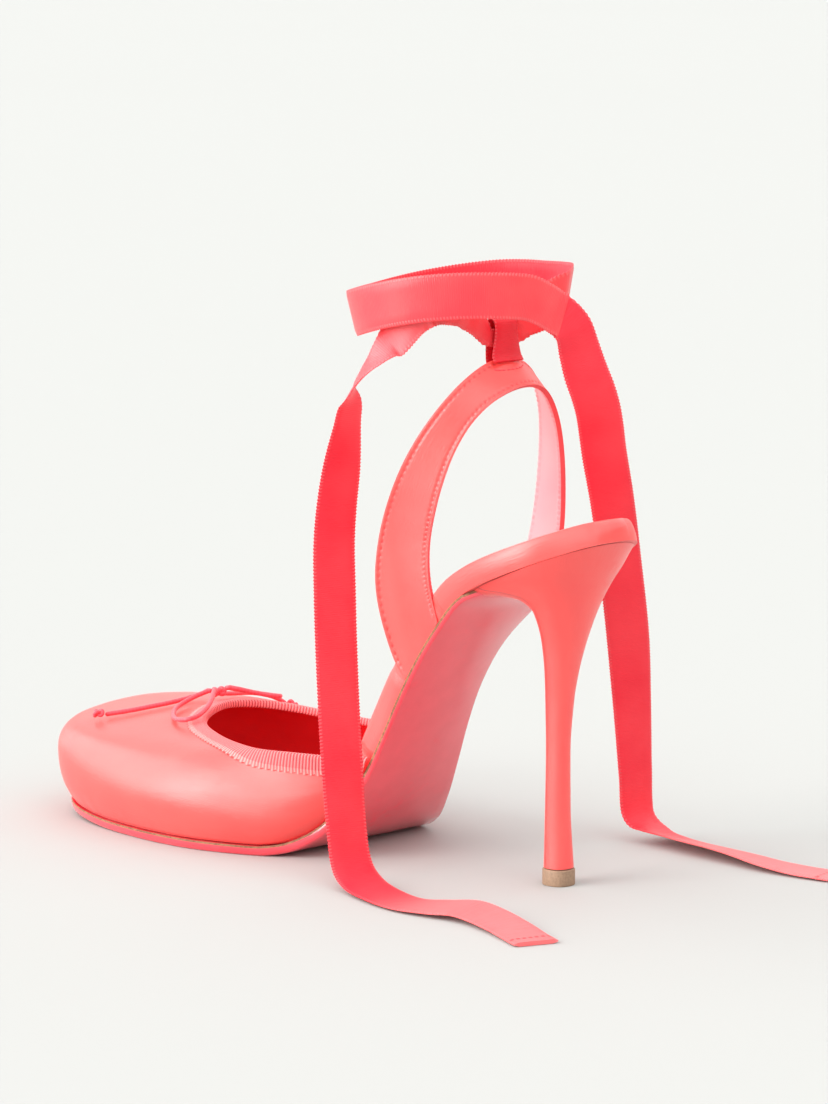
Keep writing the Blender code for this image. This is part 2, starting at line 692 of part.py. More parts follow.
def opposite(q):
    """Station of the right edge that a section runs to: straight across at the breast."""
    straight = station_at(edge(q).y, ROUND - 12, ROUND - 2)
    return ROUND - q + (straight - ROUND + q) * smooth_step((10 - q) / 3)


def make_outsole():
    breast = station_at(along_to_y(BREAST), 2, 12)
    rings = [
        plate_ring(q, opposite(q), OUTSOLE_SIDE, OUTSOLE_SET_IN, lambda p: 0.0,
                   outsole_thickness, lambda p: -outsole_thickness(p))
        for q in [breast, *(k / 2 for k in range(math.ceil(2 * breast + 0.2), 2 * TOE + 1))]
    ]
    bm = loft(rings, cap_last=False)
    return make_object("outsole", bm, SOLE_RED, 0.16)


def make_insole():
    full = EDGE_MARGIN + VAMP_WALL + 2 * GAP
    ramps = set()
    for first, last in COVERED:
        for q in (first, first + COVER_RAMP, last - COVER_RAMP, last):
            ramps.add(q if q <= TOE else ROUND - q)
    rings = [
        plate_ring(q, ROUND - q, INSOLE_SIDE, INSOLE_SET_IN, lambda p: full * cover(p),
                   lambda p: RIM * thickness_at(p, 1), lambda p: 1.5 * GAP, DISH)
        for q in stations_between(0.0, TOE, 0.5, ramps)
    ]
    bm = loft(rings, cap_first=False, cap_last=False)
    return make_object("insole", bm, SATIN, 0.38)


def make_vamp():
    def surface(u, v):
        return upper(VAMP_LAST + (VAMP_FIRST - VAMP_LAST) * u, v)

    return sheet("vamp", surface, VAMP_COLUMNS, VAMP_ROWS, VAMP_WALL, SATIN, 0.38)


def wall_share(q, depth):
    """v at this depth below the topline, measured down the vamp's outside."""
    step = 0.02
    depth = min(depth, BINDING_SHARE * (upper(q, 1.0) - upper(q, 0.0)).length)
    v, walked, place = 1.0, 0.0, upper(q, 1.0)
    while walked < depth and v > step:
        lower = upper(q, v - step)
        walked += (lower - place).length
        place, v = lower, v - step
    return v


def make_binding():
    """A channel over the topline's edge: outer lip, top and inner lip."""
    rings = []
    near, far = GAP, GAP + BINDING
    behind = -VAMP_WALL - 2 * GAP  # the inner lip stands a little freer
    for k in range(VAMP_COLUMNS + 1):
        q = VAMP_FIRST + (VAMP_LAST - VAMP_FIRST) * k / VAMP_COLUMNS
        outer = wall_share(q, BINDING_WIDTH)
        middle = wall_share(q, BINDING_WIDTH / 2)
        inner = wall_share(q, BINDING_INNER)
        top = upper(q, 1.0)
        outward = upper_outward(q, 1.0)
        up = (top - upper(q, 0.96)).normalized()
        rings.append([
            upper(q, outer) + upper_outward(q, outer) * near,
            upper(q, outer) + upper_outward(q, outer) * far,
            upper(q, middle) + upper_outward(q, middle) * far,
            top + outward * far + up * near,
            top + outward * near + up * far,
            top + outward * behind + up * far,
            top + outward * (behind - BINDING) + up * near,
            upper(q, inner) + upper_outward(q, inner) * (behind - BINDING),
            upper(q, inner) + upper_outward(q, inner) * behind,
            top + outward * behind + up * near,
            top + outward * near + up * near,
            upper(q, middle) + upper_outward(q, middle) * near,
        ])
    return make_object("topline_binding", loft(rings), BINDING_PINK, 0.6)


def make_strap():
    return sheet("back_strap", strap, 48, 5, STRAP_WALL, SATIN, 0.38)


def make_loop():
    """A strip folded over the strap's top, open sideways for the ribbon."""
    top = strap_top()
    rows = numbered(LOOP)
    count = 26
    places = []
    for k in range(count + 1):
        back, up = read(rows, k * (len(LOOP) - 1) / count)
        places.append(top + Vector((0.0, back, up)) * LOOP_WIDTH)
    rings = []
    for k, place in enumerate(places):
        run = places[min(k + 1, count)] - places[max(k - 1, 0)]
        outward = Vector((0.0, run.z, -run.y)).normalized() * LOOP_WALL / 2
        across = Vector((LOOP_WIDTH / 2, 0.0, 0.0))
        rings.append([
            place + across + outward,
            place + across - outward,
            place - across - outward,
            place - across + outward,
        ])
    return make_object("ribbon_loop", loft(rings), SATIN, 0.4)


def half_circle(count):
    return [math.pi * k / count for k in range(count)]


def heel_section(front, back, half, squareness, side):
    """A closed outline in plan: round at the back, squarer at the front."""
    widest = max(back - half, (front + back) / 2)
    ring = []
    for angle in half_circle(14):
        c, s = math.cos(angle), math.sin(angle)
        power = 2 / HEEL_BACK_SQUARENESS
        x = math.copysign(abs(c) ** power, c) * half
        ring.append(Vector((TIP.x + side + x, TIP.y + widest + (back - widest) * s**power)))
    for angle in half_circle(14):
        c, s = -math.cos(angle), math.sin(angle)
        power = 2 / squareness
        x = math.copysign(abs(c) ** power, c) * half
        ring.append(Vector((TIP.x + side + x, TIP.y + widest + (front - widest) * s**power)))
    return ring


def heel_row(fall):
    """The heel's section at this share of its fall, as points in plan."""
    front, back, width, squareness = read(HEEL, fall, steady=True)
    seat = TIP_FROM_BACK - HEEL_SET_IN
    half = (STEM_WIDTH + (HEEL_WIDTH - STEM_WIDTH) * width) / 2
    top_half = (HEEL_WIDTH - HEEL_SET_IN) / 2
    back_scale = seat / (HEEL[0][2] * top_half)
    back *= 1 + (back_scale - 1) * smooth_step(1 - fall / 0.2)
    side = HEEL_MIDDLE * BALL_WIDTH * smooth_step(1 - fall / 0.3)
    return heel_section(front * top_half, back * top_half, half, squareness, side)


def make_heel():
    foot = TOP_PIECE_HEIGHT + GAP
    falls = [0.0, 0.01, 0.02, 0.035, 0.05, 0.07, 0.09, 0.115, 0.14, 0.17, 0.2, 0.235,
             0.27, 0.31, 0.36, 0.42, 0.5, 0.62, 0.75, 0.88, 1.0]
    rings = []
    for fall in falls:
        ring = []
        for place in heel_row(fall):
            top = on_sole(place, -GAP).z
            ring.append(Vector((place.x, place.y, top + (foot - top) * fall)))
        rings.append(ring)
    return make_object("heel", loft(rings), SATIN, 0.38)


def make_top_piece():
    half = TOP_PIECE_WIDTH / 2
    rings = []
    for set_in, height in ((0.06, 0.0), (0.0, 0.12), (0.0, 0.9), (0.03, 1.0)):
        scale = half * (1 - set_in)
        ring = heel_section(-scale, scale, scale, HEEL[-1][4], 0.0)
        rings.append([Vector((p.x, p.y, height * TOP_PIECE_HEIGHT)) for p in ring])
    return make_object("top_piece", loft(rings), RUBBER_TAN, 0.55)


def ribbon(name, rows, per_row):
    """A flat band swept through rows of place, direction of width, width and thickness."""
    table = numbered(rows)
    count = round((len(rows) - 1) * per_row)
    places = [read(table, k * (len(rows) - 1) / count) for k in range(count + 1)]
    rings = []
    for k, row in enumerate(places):
        here = Vector(row[:3])
        run = Vector(places[min(k + 1, count)][:3]) - Vector(places[max(k - 1, 0)][:3])
        run.normalize()
        width = Vector(row[3:6])
        width = (width - run * width.dot(run)).normalized() * (RIBBON_WIDTH * row[6] / 2)
        facing = width.cross(run).normalized() * (RIBBON * row[7] / 2)
        rings.append([
            here + width + facing,
            here + width - facing,
            here - facing,
            here - width - facing,
            here - width + facing,
            here + facing,
        ])
    return make_object(name, loft(rings), RIBBON_RED, 0.42)


def make_turn():
    top = strap_top()
    rows = []
    for side, back, rise, *rest in TURN:
        place = top + Vector((
            side * RING_RADIUS,
            back * RING_RADIUS - RING_AHEAD,
            rise * RING_LIFT,
        ))
        rows.append((*place, *rest))
    return ribbon("ankle_ribbon", rows, 2)


def make_ribbon_end(name, points):
    rows = [(*from_tip(*row[:3]), *row[3:], 1.0, 1.0) for row in points]
    return ribbon(name, rows, 2)


def cord(name, points, spacing):
    """A round cord through points of the vamp's wall, as a curve with filled caps."""
    table = numbered(points)
    fine = 40 * (len(points) - 1)
    places = [off_upper(*spot[:2], spot[2] * MM)
              for spot in (read(table, k * (len(points) - 1) / fine) for k in range(fine + 1))]
    kept = [places[0]]
    for place in places[1:-1]:
        if (place - kept[-1]).length >= spacing:
            kept.append(place)
    if (places[-1] - kept[-1]).length < spacing / 2:
        kept.pop()
    kept.append(places[-1])
    curve = bpy.data.curves.new(name, "CURVE")
    curve.dimensions = "3D"
    curve.bevel_depth = CORD_DIAMETER / 2
    curve.bevel_resolution = 2
    curve.use_fill_caps = True
    spline = curve.splines.new("POLY")
    spline.points.add(len(kept) - 1)
    for point, place in zip(spline.points, kept):
        point.co = (*place, 1.0)
    made = bpy.data.objects.new(name, curve)
    made.data.materials.append(material(name, RIBBON_RED, 0.55))
    bpy.context.scene.collection.objects.link(made)
    return made


def knot(name, place, width, flatness, turn):
    """A knot as a small ball, pressed flat and set square to the wall."""
    bm = bmesh.new()
    bmesh.ops.create_uvsphere(bm, u_segments=12, v_segments=8, radius=width / 2)
    for vertex in bm.verts:
        vertex.co.z *= flatness
        vertex.co = turn.to_track_quat("Z", "X") @ vertex.co + place
    return make_object(name, bm, RIBBON_RED, 0.55)


def make_bow():
    q, v = TOE + 0.1, 0.973
    rest = 2 * GAP + BINDING
    flatness = 0.8
    outward = upper_outward(q, v)
    place = off_upper(q, v, rest + 0.15 * MM + KNOT_WIDTH / 2 * flatness)
    made = [knot("bow_knot", place, KNOT_WIDTH, flatness, outward)]
    spacing = 2 * CORD_DIAMETER
    made.append(cord("bow_loop_left", BOW_LOOP_LEFT, spacing))
    made.append(cord("bow_loop_right", BOW_LOOP_RIGHT, spacing))
    for side, points in (("left", BOW_TAIL_LEFT), ("right", BOW_TAIL_RIGHT)):
        made.append(cord(f"bow_tail_{side}", points, spacing))
        q, v, lift = points[-1]
        before = off_upper(*points[-2][:2], points[-2][2] * MM)
        end = off_upper(q, v, lift * MM)
        run = (end - before).normalized()
        place = end + run * (TAIL_KNOT_WIDTH / 2 + GAP)
        place += upper_outward(q, v) * (0.8 * MM)
        made.append(knot(f"bow_tail_knot_{side}", place, TAIL_KNOT_WIDTH, 0.9, run))
    return made


def clear_scene():
    for made in list(bpy.data.objects):
        bpy.data.objects.remove(made, do_unlink=True)


def build():
    clear_scene()
    shoe = bpy.data.objects.new("lace_up_pump", None)
    bpy.context.scene.collection.objects.link(shoe)
    pieces = [
        make_outsole(),
        make_insole(),
        make_vamp(),
        make_binding(),
        make_strap(),
        make_loop(),
        make_heel(),
        make_top_piece(),
        make_turn(),
        make_ribbon_end("ribbon_end_left", LEFT_END),
        make_ribbon_end("ribbon_end_right", RIGHT_END),
        *make_bow(),
    ]
    for piece in pieces:
        piece.parent = shoe


build()
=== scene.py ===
# %% [markdown]
# # A satin ballet pump with a ribbon, for the left foot
# The real shoe is cloth over forms: satin pulled over a square toe, a heel and a footbed's rim,
# a ribbed ribbon bound over the mouth, a lacquered sole, and a long ribbon round the ankle.
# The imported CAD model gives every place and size. This script only makes finer pieces in the
# same places, with the cloth, stitches, ribs and gloss that a CAD solid leaves out.

# %% Load the fixed frame
import bisect
import functools
import json
import math

import bmesh
import bpy
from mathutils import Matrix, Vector

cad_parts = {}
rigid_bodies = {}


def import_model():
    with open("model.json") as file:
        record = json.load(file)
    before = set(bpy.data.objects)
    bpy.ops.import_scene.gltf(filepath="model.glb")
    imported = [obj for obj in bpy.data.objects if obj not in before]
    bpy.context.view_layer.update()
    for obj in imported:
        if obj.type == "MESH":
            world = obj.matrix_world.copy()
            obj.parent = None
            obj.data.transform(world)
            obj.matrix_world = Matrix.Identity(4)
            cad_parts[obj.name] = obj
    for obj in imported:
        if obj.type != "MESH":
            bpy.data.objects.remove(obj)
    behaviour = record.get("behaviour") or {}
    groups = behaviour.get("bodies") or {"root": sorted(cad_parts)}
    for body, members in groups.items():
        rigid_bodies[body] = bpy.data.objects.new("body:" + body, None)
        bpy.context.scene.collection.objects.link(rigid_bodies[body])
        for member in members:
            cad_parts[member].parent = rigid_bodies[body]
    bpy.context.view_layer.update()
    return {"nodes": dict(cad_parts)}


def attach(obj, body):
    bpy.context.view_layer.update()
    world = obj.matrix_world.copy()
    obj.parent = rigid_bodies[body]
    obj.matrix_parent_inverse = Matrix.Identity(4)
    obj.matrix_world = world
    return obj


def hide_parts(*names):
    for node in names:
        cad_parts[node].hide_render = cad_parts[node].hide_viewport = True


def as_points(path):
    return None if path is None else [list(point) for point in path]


for leftover in list(bpy.data.objects):
    bpy.data.objects.remove(leftover, do_unlink=True)
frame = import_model()
MM = 0.001
print("CAD nodes:", len(frame["nodes"]))

# %% [markdown]
# ## The camera
# The photograph was taken from behind and to the left, low down, with a long lens. The angles,
# the distance and the lens come from fitting the heel's tip, the seat and the toe to the
# picture. The tip of the heel is the fixed point: the camera is placed from it.

# %% Camera
AZIMUTH, ELEVATION = math.radians(135.0), math.radians(8.3)
HEEL_TIP = Vector((-3.3, 86.7, 0.0)) * MM
BACK = Vector((
    math.sin(AZIMUTH) * math.cos(ELEVATION),
    -math.cos(AZIMUTH) * math.cos(ELEVATION),
    math.sin(ELEVATION),
))
RIGHT = Vector((0.0, 0.0, 1.0)).cross(BACK).normalized()
UP = BACK.cross(RIGHT)
lens = bpy.data.cameras.new("camera")
lens.lens = 146.25
lens.sensor_width = 36.0
camera = bpy.data.objects.new("camera", lens)
camera.location = HEEL_TIP + BACK * 1.300 - RIGHT * 0.04203 + UP * 0.09623
camera.rotation_mode = "QUATERNION"
camera.rotation_quaternion = (-BACK).to_track_quat("-Z", "Y")
bpy.context.scene.collection.objects.link(camera)
bpy.context.scene.camera = camera
print("camera at", [round(x, 3) for x in camera.location])

# %% [markdown]
# ## Smooth curves through a few rows
# A shoe's shape is given in a handful of sections. Blender's own splines could join them, but
# the same cubic that made the CAD model keeps each finer piece on its solid, so this helper
# joins rows of numbers with that curve. A steady one never swings past its rows.


# %% Curves through rows
def curve_through(rows, steady=False):
    """A function of t that gives the columns after the first, on a curve through the rows."""
    places = [row[0] for row in rows]
    last = len(rows) - 1
    slopes = []
    for k in range(len(rows)):
        low, high = max(k - 1, 0), min(k + 1, last)
        found = []
        for column in range(1, len(rows[0])):
            whole = (rows[high][column] - rows[low][column]) / (places[high] - places[low])
            if steady and 0 < k < last:
                before = (rows[k][column] - rows[low][column]) / (places[k] - places[low])
                after = (rows[high][column] - rows[k][column]) / (places[high] - places[k])
                whole = 2 * before * after / (before + after) if before * after > 0 else 0.0
            found.append(whole)
        slopes.append(found)

    def at(t):
        t = min(max(t, places[0]), places[-1])
        i = min(bisect.bisect_right(places, t) - 1, last - 1)
        step = places[i + 1] - places[i]
        s = (t - places[i]) / step
        rise = s * s * (3 - 2 * s)
        leave, arrive = (s**3 - 2 * s**2 + s) * step, (s**3 - s**2) * step
        return [
            low + (high - low) * rise + leave * a + arrive * b
            for low, high, a, b in zip(rows[i][1:], rows[i + 1][1:], slopes[i], slopes[i + 1])
        ]

    return at


def smooth_step(t):
    """0 below 0, 1 above 1, and an S between."""
    t = min(max(t, 0.0), 1.0)
    return t * t * (3 - 2 * t)


def numbered(rows):
    """The rows with their own number first."""
    return [(float(k), *row) for k, row in enumerate(rows)]


print("half way up an S:", smooth_step(0.5))

# %% [markdown]
# ## The sole and the foot of the upper
# Everything on a shoe is drawn from its sole: the edge in plan, the line where the upper meets
# it, and how high that line rises towards the heel. Each row gives the left edge and the right
# edge as shares of the sole's length and of the ball's width. They are the part's own figures,
# so a station number means the same place on every piece.

# %% Sole
LENGTH, BALL_WIDTH, SEAT_HEIGHT = 0.211, 0.083, 0.1022
OUTSOLE, WAIST_OUTSOLE, RIM, DISH = 0.003, 0.0018, 0.0067, 0.001
GAP, EDGE_MARGIN = 0.0003, 0.0006
SIDE_SHIFT, ALONG_SHIFT, TIP_FROM_BACK = -0.0033, 0.0022, 0.021
SECTIONS = [
    (1.000, 0.012, 1.000, 0.012),
    (0.994, 0.108, 0.998, -0.090),
    (0.969, 0.199, 0.979, -0.181),
    (0.934, 0.259, 0.944, -0.242),
    (0.886, 0.289, 0.896, -0.263),
    (0.834, 0.289, 0.844, -0.247),
    (0.777, 0.277, 0.787, -0.195),
    (0.720, 0.264, 0.735, -0.148),
    (0.664, 0.256, 0.682, -0.152),
    (0.616, 0.260, 0.630, -0.200),
    (0.569, 0.301, 0.583, -0.260),
    (0.521, 0.369, 0.536, -0.328),
    (0.474, 0.439, 0.483, -0.388),
    (0.422, 0.494, 0.427, -0.434),
    (0.365, 0.530, 0.370, -0.458),
    (0.303, 0.540, 0.308, -0.460),
    (0.242, 0.533, 0.246, -0.455),
    (0.185, 0.516, 0.190, -0.443),
    (0.133, 0.487, 0.137, -0.420),
    (0.085, 0.441, 0.090, -0.383),
    (0.045, 0.366, 0.047, -0.320),
    (0.015, 0.253, 0.017, -0.229),
    (0.002, 0.118, 0.002, -0.127),
    (0.000, -0.012, 0.000, -0.012),
]
TOE = len(SECTIONS) - 1
ROUND = 2 * TOE
FEATHER = [
    (0.000, 0.0323),
    (0.057, 0.0192),
    (0.133, 0.0071),
    (0.209, 0.0010),
    (0.284, 0.0),
    (0.470, 0.0),
    (0.502, 0.0090),
    (0.540, 0.0460),
    (0.578, 0.1220),
    (0.616, 0.2300),
    (0.654, 0.3659),
    (0.692, 0.5080),
    (0.730, 0.6280),
    (0.768, 0.7258),
    (0.806, 0.8085),
    (0.844, 0.8569),
    (0.886, 0.8962),
    (0.929, 0.9335),
    (0.970, 0.9708),
    (1.000, 1.0),
]
around = [row[:2] for row in SECTIONS] + [row[2:] for row in SECTIONS[-2:0:-1]]
edge_curve = curve_through([(float(k), *around[k % ROUND]) for k in range(-2, ROUND + 3)])
feather_curve = curve_through(FEATHER, steady=True)


def along_to_y(along):
    return (along - 0.5) * LENGTH + ALONG_SHIFT


def side_to_x(side):
    return side * BALL_WIDTH + SIDE_SHIFT


@functools.lru_cache(maxsize=None)
def edge_frame(q):
    """The sole's edge in plan at station q, and the way outwards there."""
    q %= ROUND
    along, side = edge_curve(q)
    ahead, behind = edge_curve(q + 0.05), edge_curve(q - 0.05)
    run = Vector(((ahead[1] - behind[1]) * BALL_WIDTH, (ahead[0] - behind[0]) * LENGTH))
    return Vector((side_to_x(side), along_to_y(along))), Vector((-run.y, run.x)).normalized()


def edge(q, inset=0.0):
    place, outward = edge_frame(q)
    return place - outward * inset


def feather_height(y):
    along = (y - ALONG_SHIFT) / LENGTH + 0.5
    return OUTSOLE + (SEAT_HEIGHT - OUTSOLE) * feather_curve(along)[0]


def on_sole(place, lift=0.0):
    """A point of the plan raised onto the feather surface, then off it along its normal."""
    nearby = 0.5 * MM
    rise = feather_height(place.y + nearby) - feather_height(place.y - nearby)
    normal = Vector((0.0, -rise, 2 * nearby)).normalized()
    return Vector((place.x, place.y, feather_height(place.y))) + normal * lift


print("sole edge, left and right of the ball:", edge(14.0), edge(ROUND - 14.0))

# %% [markdown]
# ## The vamp's wall
# A lasted upper leaves the sole's edge, bulges, and leans in to its topline. Sculpting would
# give it too, but the CAD wall is already exact, so the same numbers are used: a foot on the
# sole, a topline, and a form between them that is fuller at the toe.

# %% Vamp wall
THROAT_HEIGHT, TOE_BULGE, SIDE_BULGE = 0.035, 0.0045, 0.0033
VAMP_FIRST, VAMP_LAST = 9.0, 36.8
TOPLINE = [
    (9.0, 0.630, 0.271, 0.906),
    (10.5, 0.569, 0.323, 0.892),
    (12.0, 0.509, 0.373, 0.895),
    (13.5, 0.455, 0.389, 0.890),
    (15.0, 0.398, 0.359, 0.887),
    (17.0, 0.336, 0.301, 0.895),
    (19.0, 0.280, 0.229, 0.920),
    (21.0, 0.242, 0.127, 0.961),
    (23.0, 0.227, 0.000, 1.000),
    (25.0, 0.242, -0.114, 0.989),
    (27.0, 0.280, -0.193, 0.961),
    (29.0, 0.327, -0.253, 0.923),
    (31.0, 0.384, -0.301, 0.890),
    (32.5, 0.443, -0.331, 0.878),
    (34.0, 0.507, -0.331, 0.890),
    (35.5, 0.571, -0.287, 0.901),
    (36.8, 0.620, -0.216, 0.915),
]
VAMP_FORM = [
    (0.00, 0.00, 0.000, 0.00, 0.000, 0.000, 0.00),
    (0.12, 0.00, 0.160, 0.65, 0.000, 0.200, 0.70),
    (0.26, 0.00, 0.370, 1.00, 0.000, 0.450, 1.00),
    (0.40, 0.07, 0.570, 1.00, 0.005, 0.665, 1.00),
    (0.52, 0.20, 0.730, 0.85, 0.045, 0.810, 0.84),
    (0.62, 0.34, 0.840, 0.60, 0.120, 0.885, 0.55),
    (0.78, 0.63, 0.940, 0.27, 0.380, 0.940, 0.22),
    (1.00, 1.00, 1.000, 0.00, 1.000, 1.000, 0.00),
]
topline_curve, form_curve = curve_through(TOPLINE), curve_through(VAMP_FORM)


@functools.lru_cache(maxsize=None)
def wall_column(q):
    """What every point of the wall at station q starts from."""
    foot = on_sole(edge(q, EDGE_MARGIN), 1.5 * GAP)
    along, side, height = topline_curve(q)
    top = Vector((side_to_x(side), along_to_y(along), height * THROAT_HEIGHT))
    toe = smooth_step((9.0 - abs(q - TOE)) / 6.0)
    wing = smooth_step((abs(q - TOE) - 8.0) / 4.0)
    bulge = SIDE_BULGE + (TOE_BULGE - SIDE_BULGE) * toe
    bulge *= smooth_step((q - VAMP_FIRST) / 2.5) * smooth_step((VAMP_LAST - q) / 2.5)
    return foot, top, edge_frame(q)[1].to_3d(), toe, wing, bulge


def upper(q, v):
    """Outside of the vamp: station q along its foot, v from there to the topline."""
    foot, top, outward, toe, wing, swell = wall_column(q)
    form = form_curve(v)
    reach, rise, bulge = (form[k] + (form[k + 3] - form[k]) * toe for k in range(3))
    reach += (v - reach) * wing
    rise += (v - rise) * wing
    place = foot + (top - foot) * reach + outward * (bulge * swell)
    return Vector((place.x, place.y, foot.z + (top.z - foot.z) * rise))


def upper_outward(q, v):
    near = 0.02
    q = min(max(q, VAMP_FIRST + 0.2674), VAMP_LAST - 0.2674)
    v = min(max(v, near), 0.9444)
    run = upper(q + near, v) - upper(q - near, v)
    climb = upper(q, v + near) - upper(q, v - near)
    return climb.cross(run).normalized()


def off_upper(q, v, lift):
    """A point off the vamp's outside. Above the topline it goes on as the wall leaves it."""
    place = upper(q, min(v, 1.0))
    if v > 1:
        place += (upper(q, 1.0) - upper(q, 0.9)) * ((v - 1) / 0.1)
    return place + upper_outward(q, v) * lift


def wall_share(q, depth):
    """v at this depth below the topline, measured down the vamp's outside."""
    depth = min(depth, 0.5 * (upper(q, 1.0) - upper(q, 0.0)).length)
    v, walked, place = 1.0, 0.0, upper(q, 1.0)
    while walked < depth and v > 0.01:
        lower = upper(q, v - 0.01)
        walked += (lower - place).length
        place, v = lower, v - 0.01
    return v + 0.01 * (walked - depth) / max((lower - upper(q, v + 0.01)).length, 1e-6)


print("throat height, mm:", round(upper(TOE, 1.0).z / MM, 1))

# %% [markdown]
# ## The back strap
# The strap is one curved band from the left side of the seat, over the back of the foot, to
# the right side. Rows give its front edge and its rear edge, and the wall is straight between.

# %% Back strap's surface
STRAP_RISE = 0.0508
STRAP_LEFT, STRAP_RIGHT = (6.1, 7.3), (38.45, 39.8)
STRAP = [
    (0.265, 0.682, 0.417, 0.271, 0.760, 0.540),
    (0.295, 0.660, 0.499, 0.275, 0.754, 0.565),
    (0.313, 0.663, 0.554, 0.277, 0.753, 0.601),
    (0.325, 0.670, 0.607, 0.277, 0.753, 0.653),
    (0.331, 0.679, 0.684, 0.277, 0.762, 0.686),
    (0.325, 0.713, 0.786, 0.271, 0.774, 0.756),
    (0.307, 0.741, 0.847, 0.253, 0.789, 0.821),
    (0.265, 0.767, 0.908, 0.211, 0.806, 0.879),
    (0.187, 0.788, 0.961, 0.151, 0.824, 0.921),
    (0.096, 0.795, 0.992, 0.066, 0.834, 0.939),
    (0.000, 0.797, 1.000, 0.000, 0.837, 0.946),
    (-0.084, 0.794, 0.991, -0.062, 0.836, 0.947),
    (-0.157, 0.788, 0.970, -0.120, 0.832, 0.932),
    (-0.229, 0.775, 0.936, -0.172, 0.826, 0.906),
    (-0.289, 0.760, 0.888, -0.232, 0.818, 0.858),
    (-0.327, 0.747, 0.820, -0.257, 0.814, 0.804),
    (-0.341, 0.738, 0.730, -0.268, 0.812, 0.732),
    (-0.333, 0.728, 0.621, -0.272, 0.810, 0.660),
    (-0.307, 0.718, 0.556, -0.266, 0.806, 0.601),
    (-0.259, 0.709, 0.484, -0.251, 0.799, 0.569),
    (-0.199, 0.706, 0.431, -0.214, 0.789, 0.536),
]


def foot_row(place, front, rear):
    return (place, *on_sole(edge(front, EDGE_MARGIN), 2 * GAP), *on_sole(edge(rear, EDGE_MARGIN), 2 * GAP))


top_height = SEAT_HEIGHT + STRAP_RISE
strap_rows = [
    (k + 1.0, side_to_x(a), along_to_y(b), c * top_height, side_to_x(d), along_to_y(e), f * top_height)
    for k, (a, b, c, d, e, f) in enumerate(STRAP)
]
strap_end = len(STRAP) + 1.0


def eased(rows, share):
    """The rows with each one drawn towards the middle of its neighbours."""
    found = [rows[0]]
    for before, row, after in zip(rows, rows[1:], rows[2:]):
        found.append((row[0], *(b + share * ((a + c) / 2 - b)
                                for a, b, c in zip(before[1:], row[1:], after[1:]))))
    return [*found, rows[-1]]


for _ in range(2):
    strap_rows = eased(strap_rows, 0.45)
strap_curve = curve_through([
    foot_row(0.0, STRAP_LEFT[1], STRAP_LEFT[0]), *strap_rows,
    foot_row(strap_end, STRAP_RIGHT[0], STRAP_RIGHT[1]),
])


@functools.lru_cache(maxsize=None)
def strap_edges(t):
    found = strap_curve(t * strap_end)
    return Vector(found[3:]), Vector(found[:3])


def strap(t, s):
    """Outside of the strap at t, from the left foot (0) to the right, s from its rear edge."""
    rear, front = strap_edges(t)
    return rear.lerp(front, s)


STRAP_TOP = strap(0.5, 1.0)
print("strap top, mm:", [round(x / MM, 1) for x in STRAP_TOP])

# %% [markdown]
# ## Skins
# Most pieces here are a grid laid over a curved surface: a wall, a tube, a ribbon, a heel. A
# grid operator makes the faces, and this helper stands each corner where it belongs. The UV
# map is in metres along and across the cloth, so one weave fits every piece at its real scale.


# %% Skin over a surface
def skin(name, columns, rows, place, chart, fill=False, sharp=50.0, side_of=None):
    """A mesh whose corner (i, j) stands at place(i, j), with chart(i, j) as its UV."""
    bm = bmesh.new()
    bmesh.ops.create_grid(bm, x_segments=columns, y_segments=rows, size=0.5)
    uv = bm.loops.layers.uv.new("UVMap")
    corner = {v: (round((v.co.x + 0.5) * columns), round((v.co.y + 0.5) * rows)) for v in bm.verts}
    for face in bm.faces:
        spots = [corner[v] for v in face.verts]
        for loop in face.loops:
            loop[uv].uv = chart(*corner[loop.vert])
        if side_of:
            face.material_index = side_of(min(s[0] for s in spots), min(s[1] for s in spots))
    for vertex, spot in corner.items():
        vertex.co = place(*spot)
    bmesh.ops.remove_doubles(bm, verts=bm.verts, dist=1e-6)
    bmesh.ops.dissolve_degenerate(bm, edges=bm.edges, dist=1e-6)
    if fill:
        bmesh.ops.holes_fill(bm, edges=bm.edges, sides=0)
        bmesh.ops.recalc_face_normals(bm, faces=bm.faces)
    return make_object(name, bm, sharp)


def make_object(name, bm, sharp=50.0):
    mesh = bpy.data.meshes.new(name)
    bm.to_mesh(mesh)
    bm.free()
    mesh.shade_smooth()
    mesh.set_sharp_from_angle(angle=math.radians(sharp))
    made = bpy.data.objects.new(name, mesh)
    bpy.context.scene.collection.objects.link(made)
    print(f"{name}: {len(mesh.polygons)} faces")
    return made


def dress(made, slot, materials, *stands_for):
    """Materials, the body it rides on and the CAD nodes it stands for; the record's slot is not used."""
    for material in materials:
        made.data.materials.append(material)
    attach(made, "root")
    if stands_for:
        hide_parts(*stands_for)
    return made


def walk(at, last, spacing, fine=24):
    """Values of a curve's parameter that stand evenly apart along it, and their distances."""
    steps = [k / fine for k in range(int(last) * fine + 1)]
    spots = [Vector(at(t)[:3]) for t in steps]
    reached = [0.0]
    for a, b in zip(spots, spots[1:]):
        reached.append(reached[-1] + (b - a).length)
    count = max(2, round(reached[-1] / spacing))
    found = []
    for k in range(count + 1):
        goal = reached[-1] * k / count
        i = min(max(bisect.bisect_right(reached, goal) - 1, 0), len(steps) - 2)
        share = (goal - reached[i]) / max(reached[i + 1] - reached[i], 1e-9)
        found.append((steps[i] + (steps[i + 1] - steps[i]) * min(share, 1.0), goal))
    return found


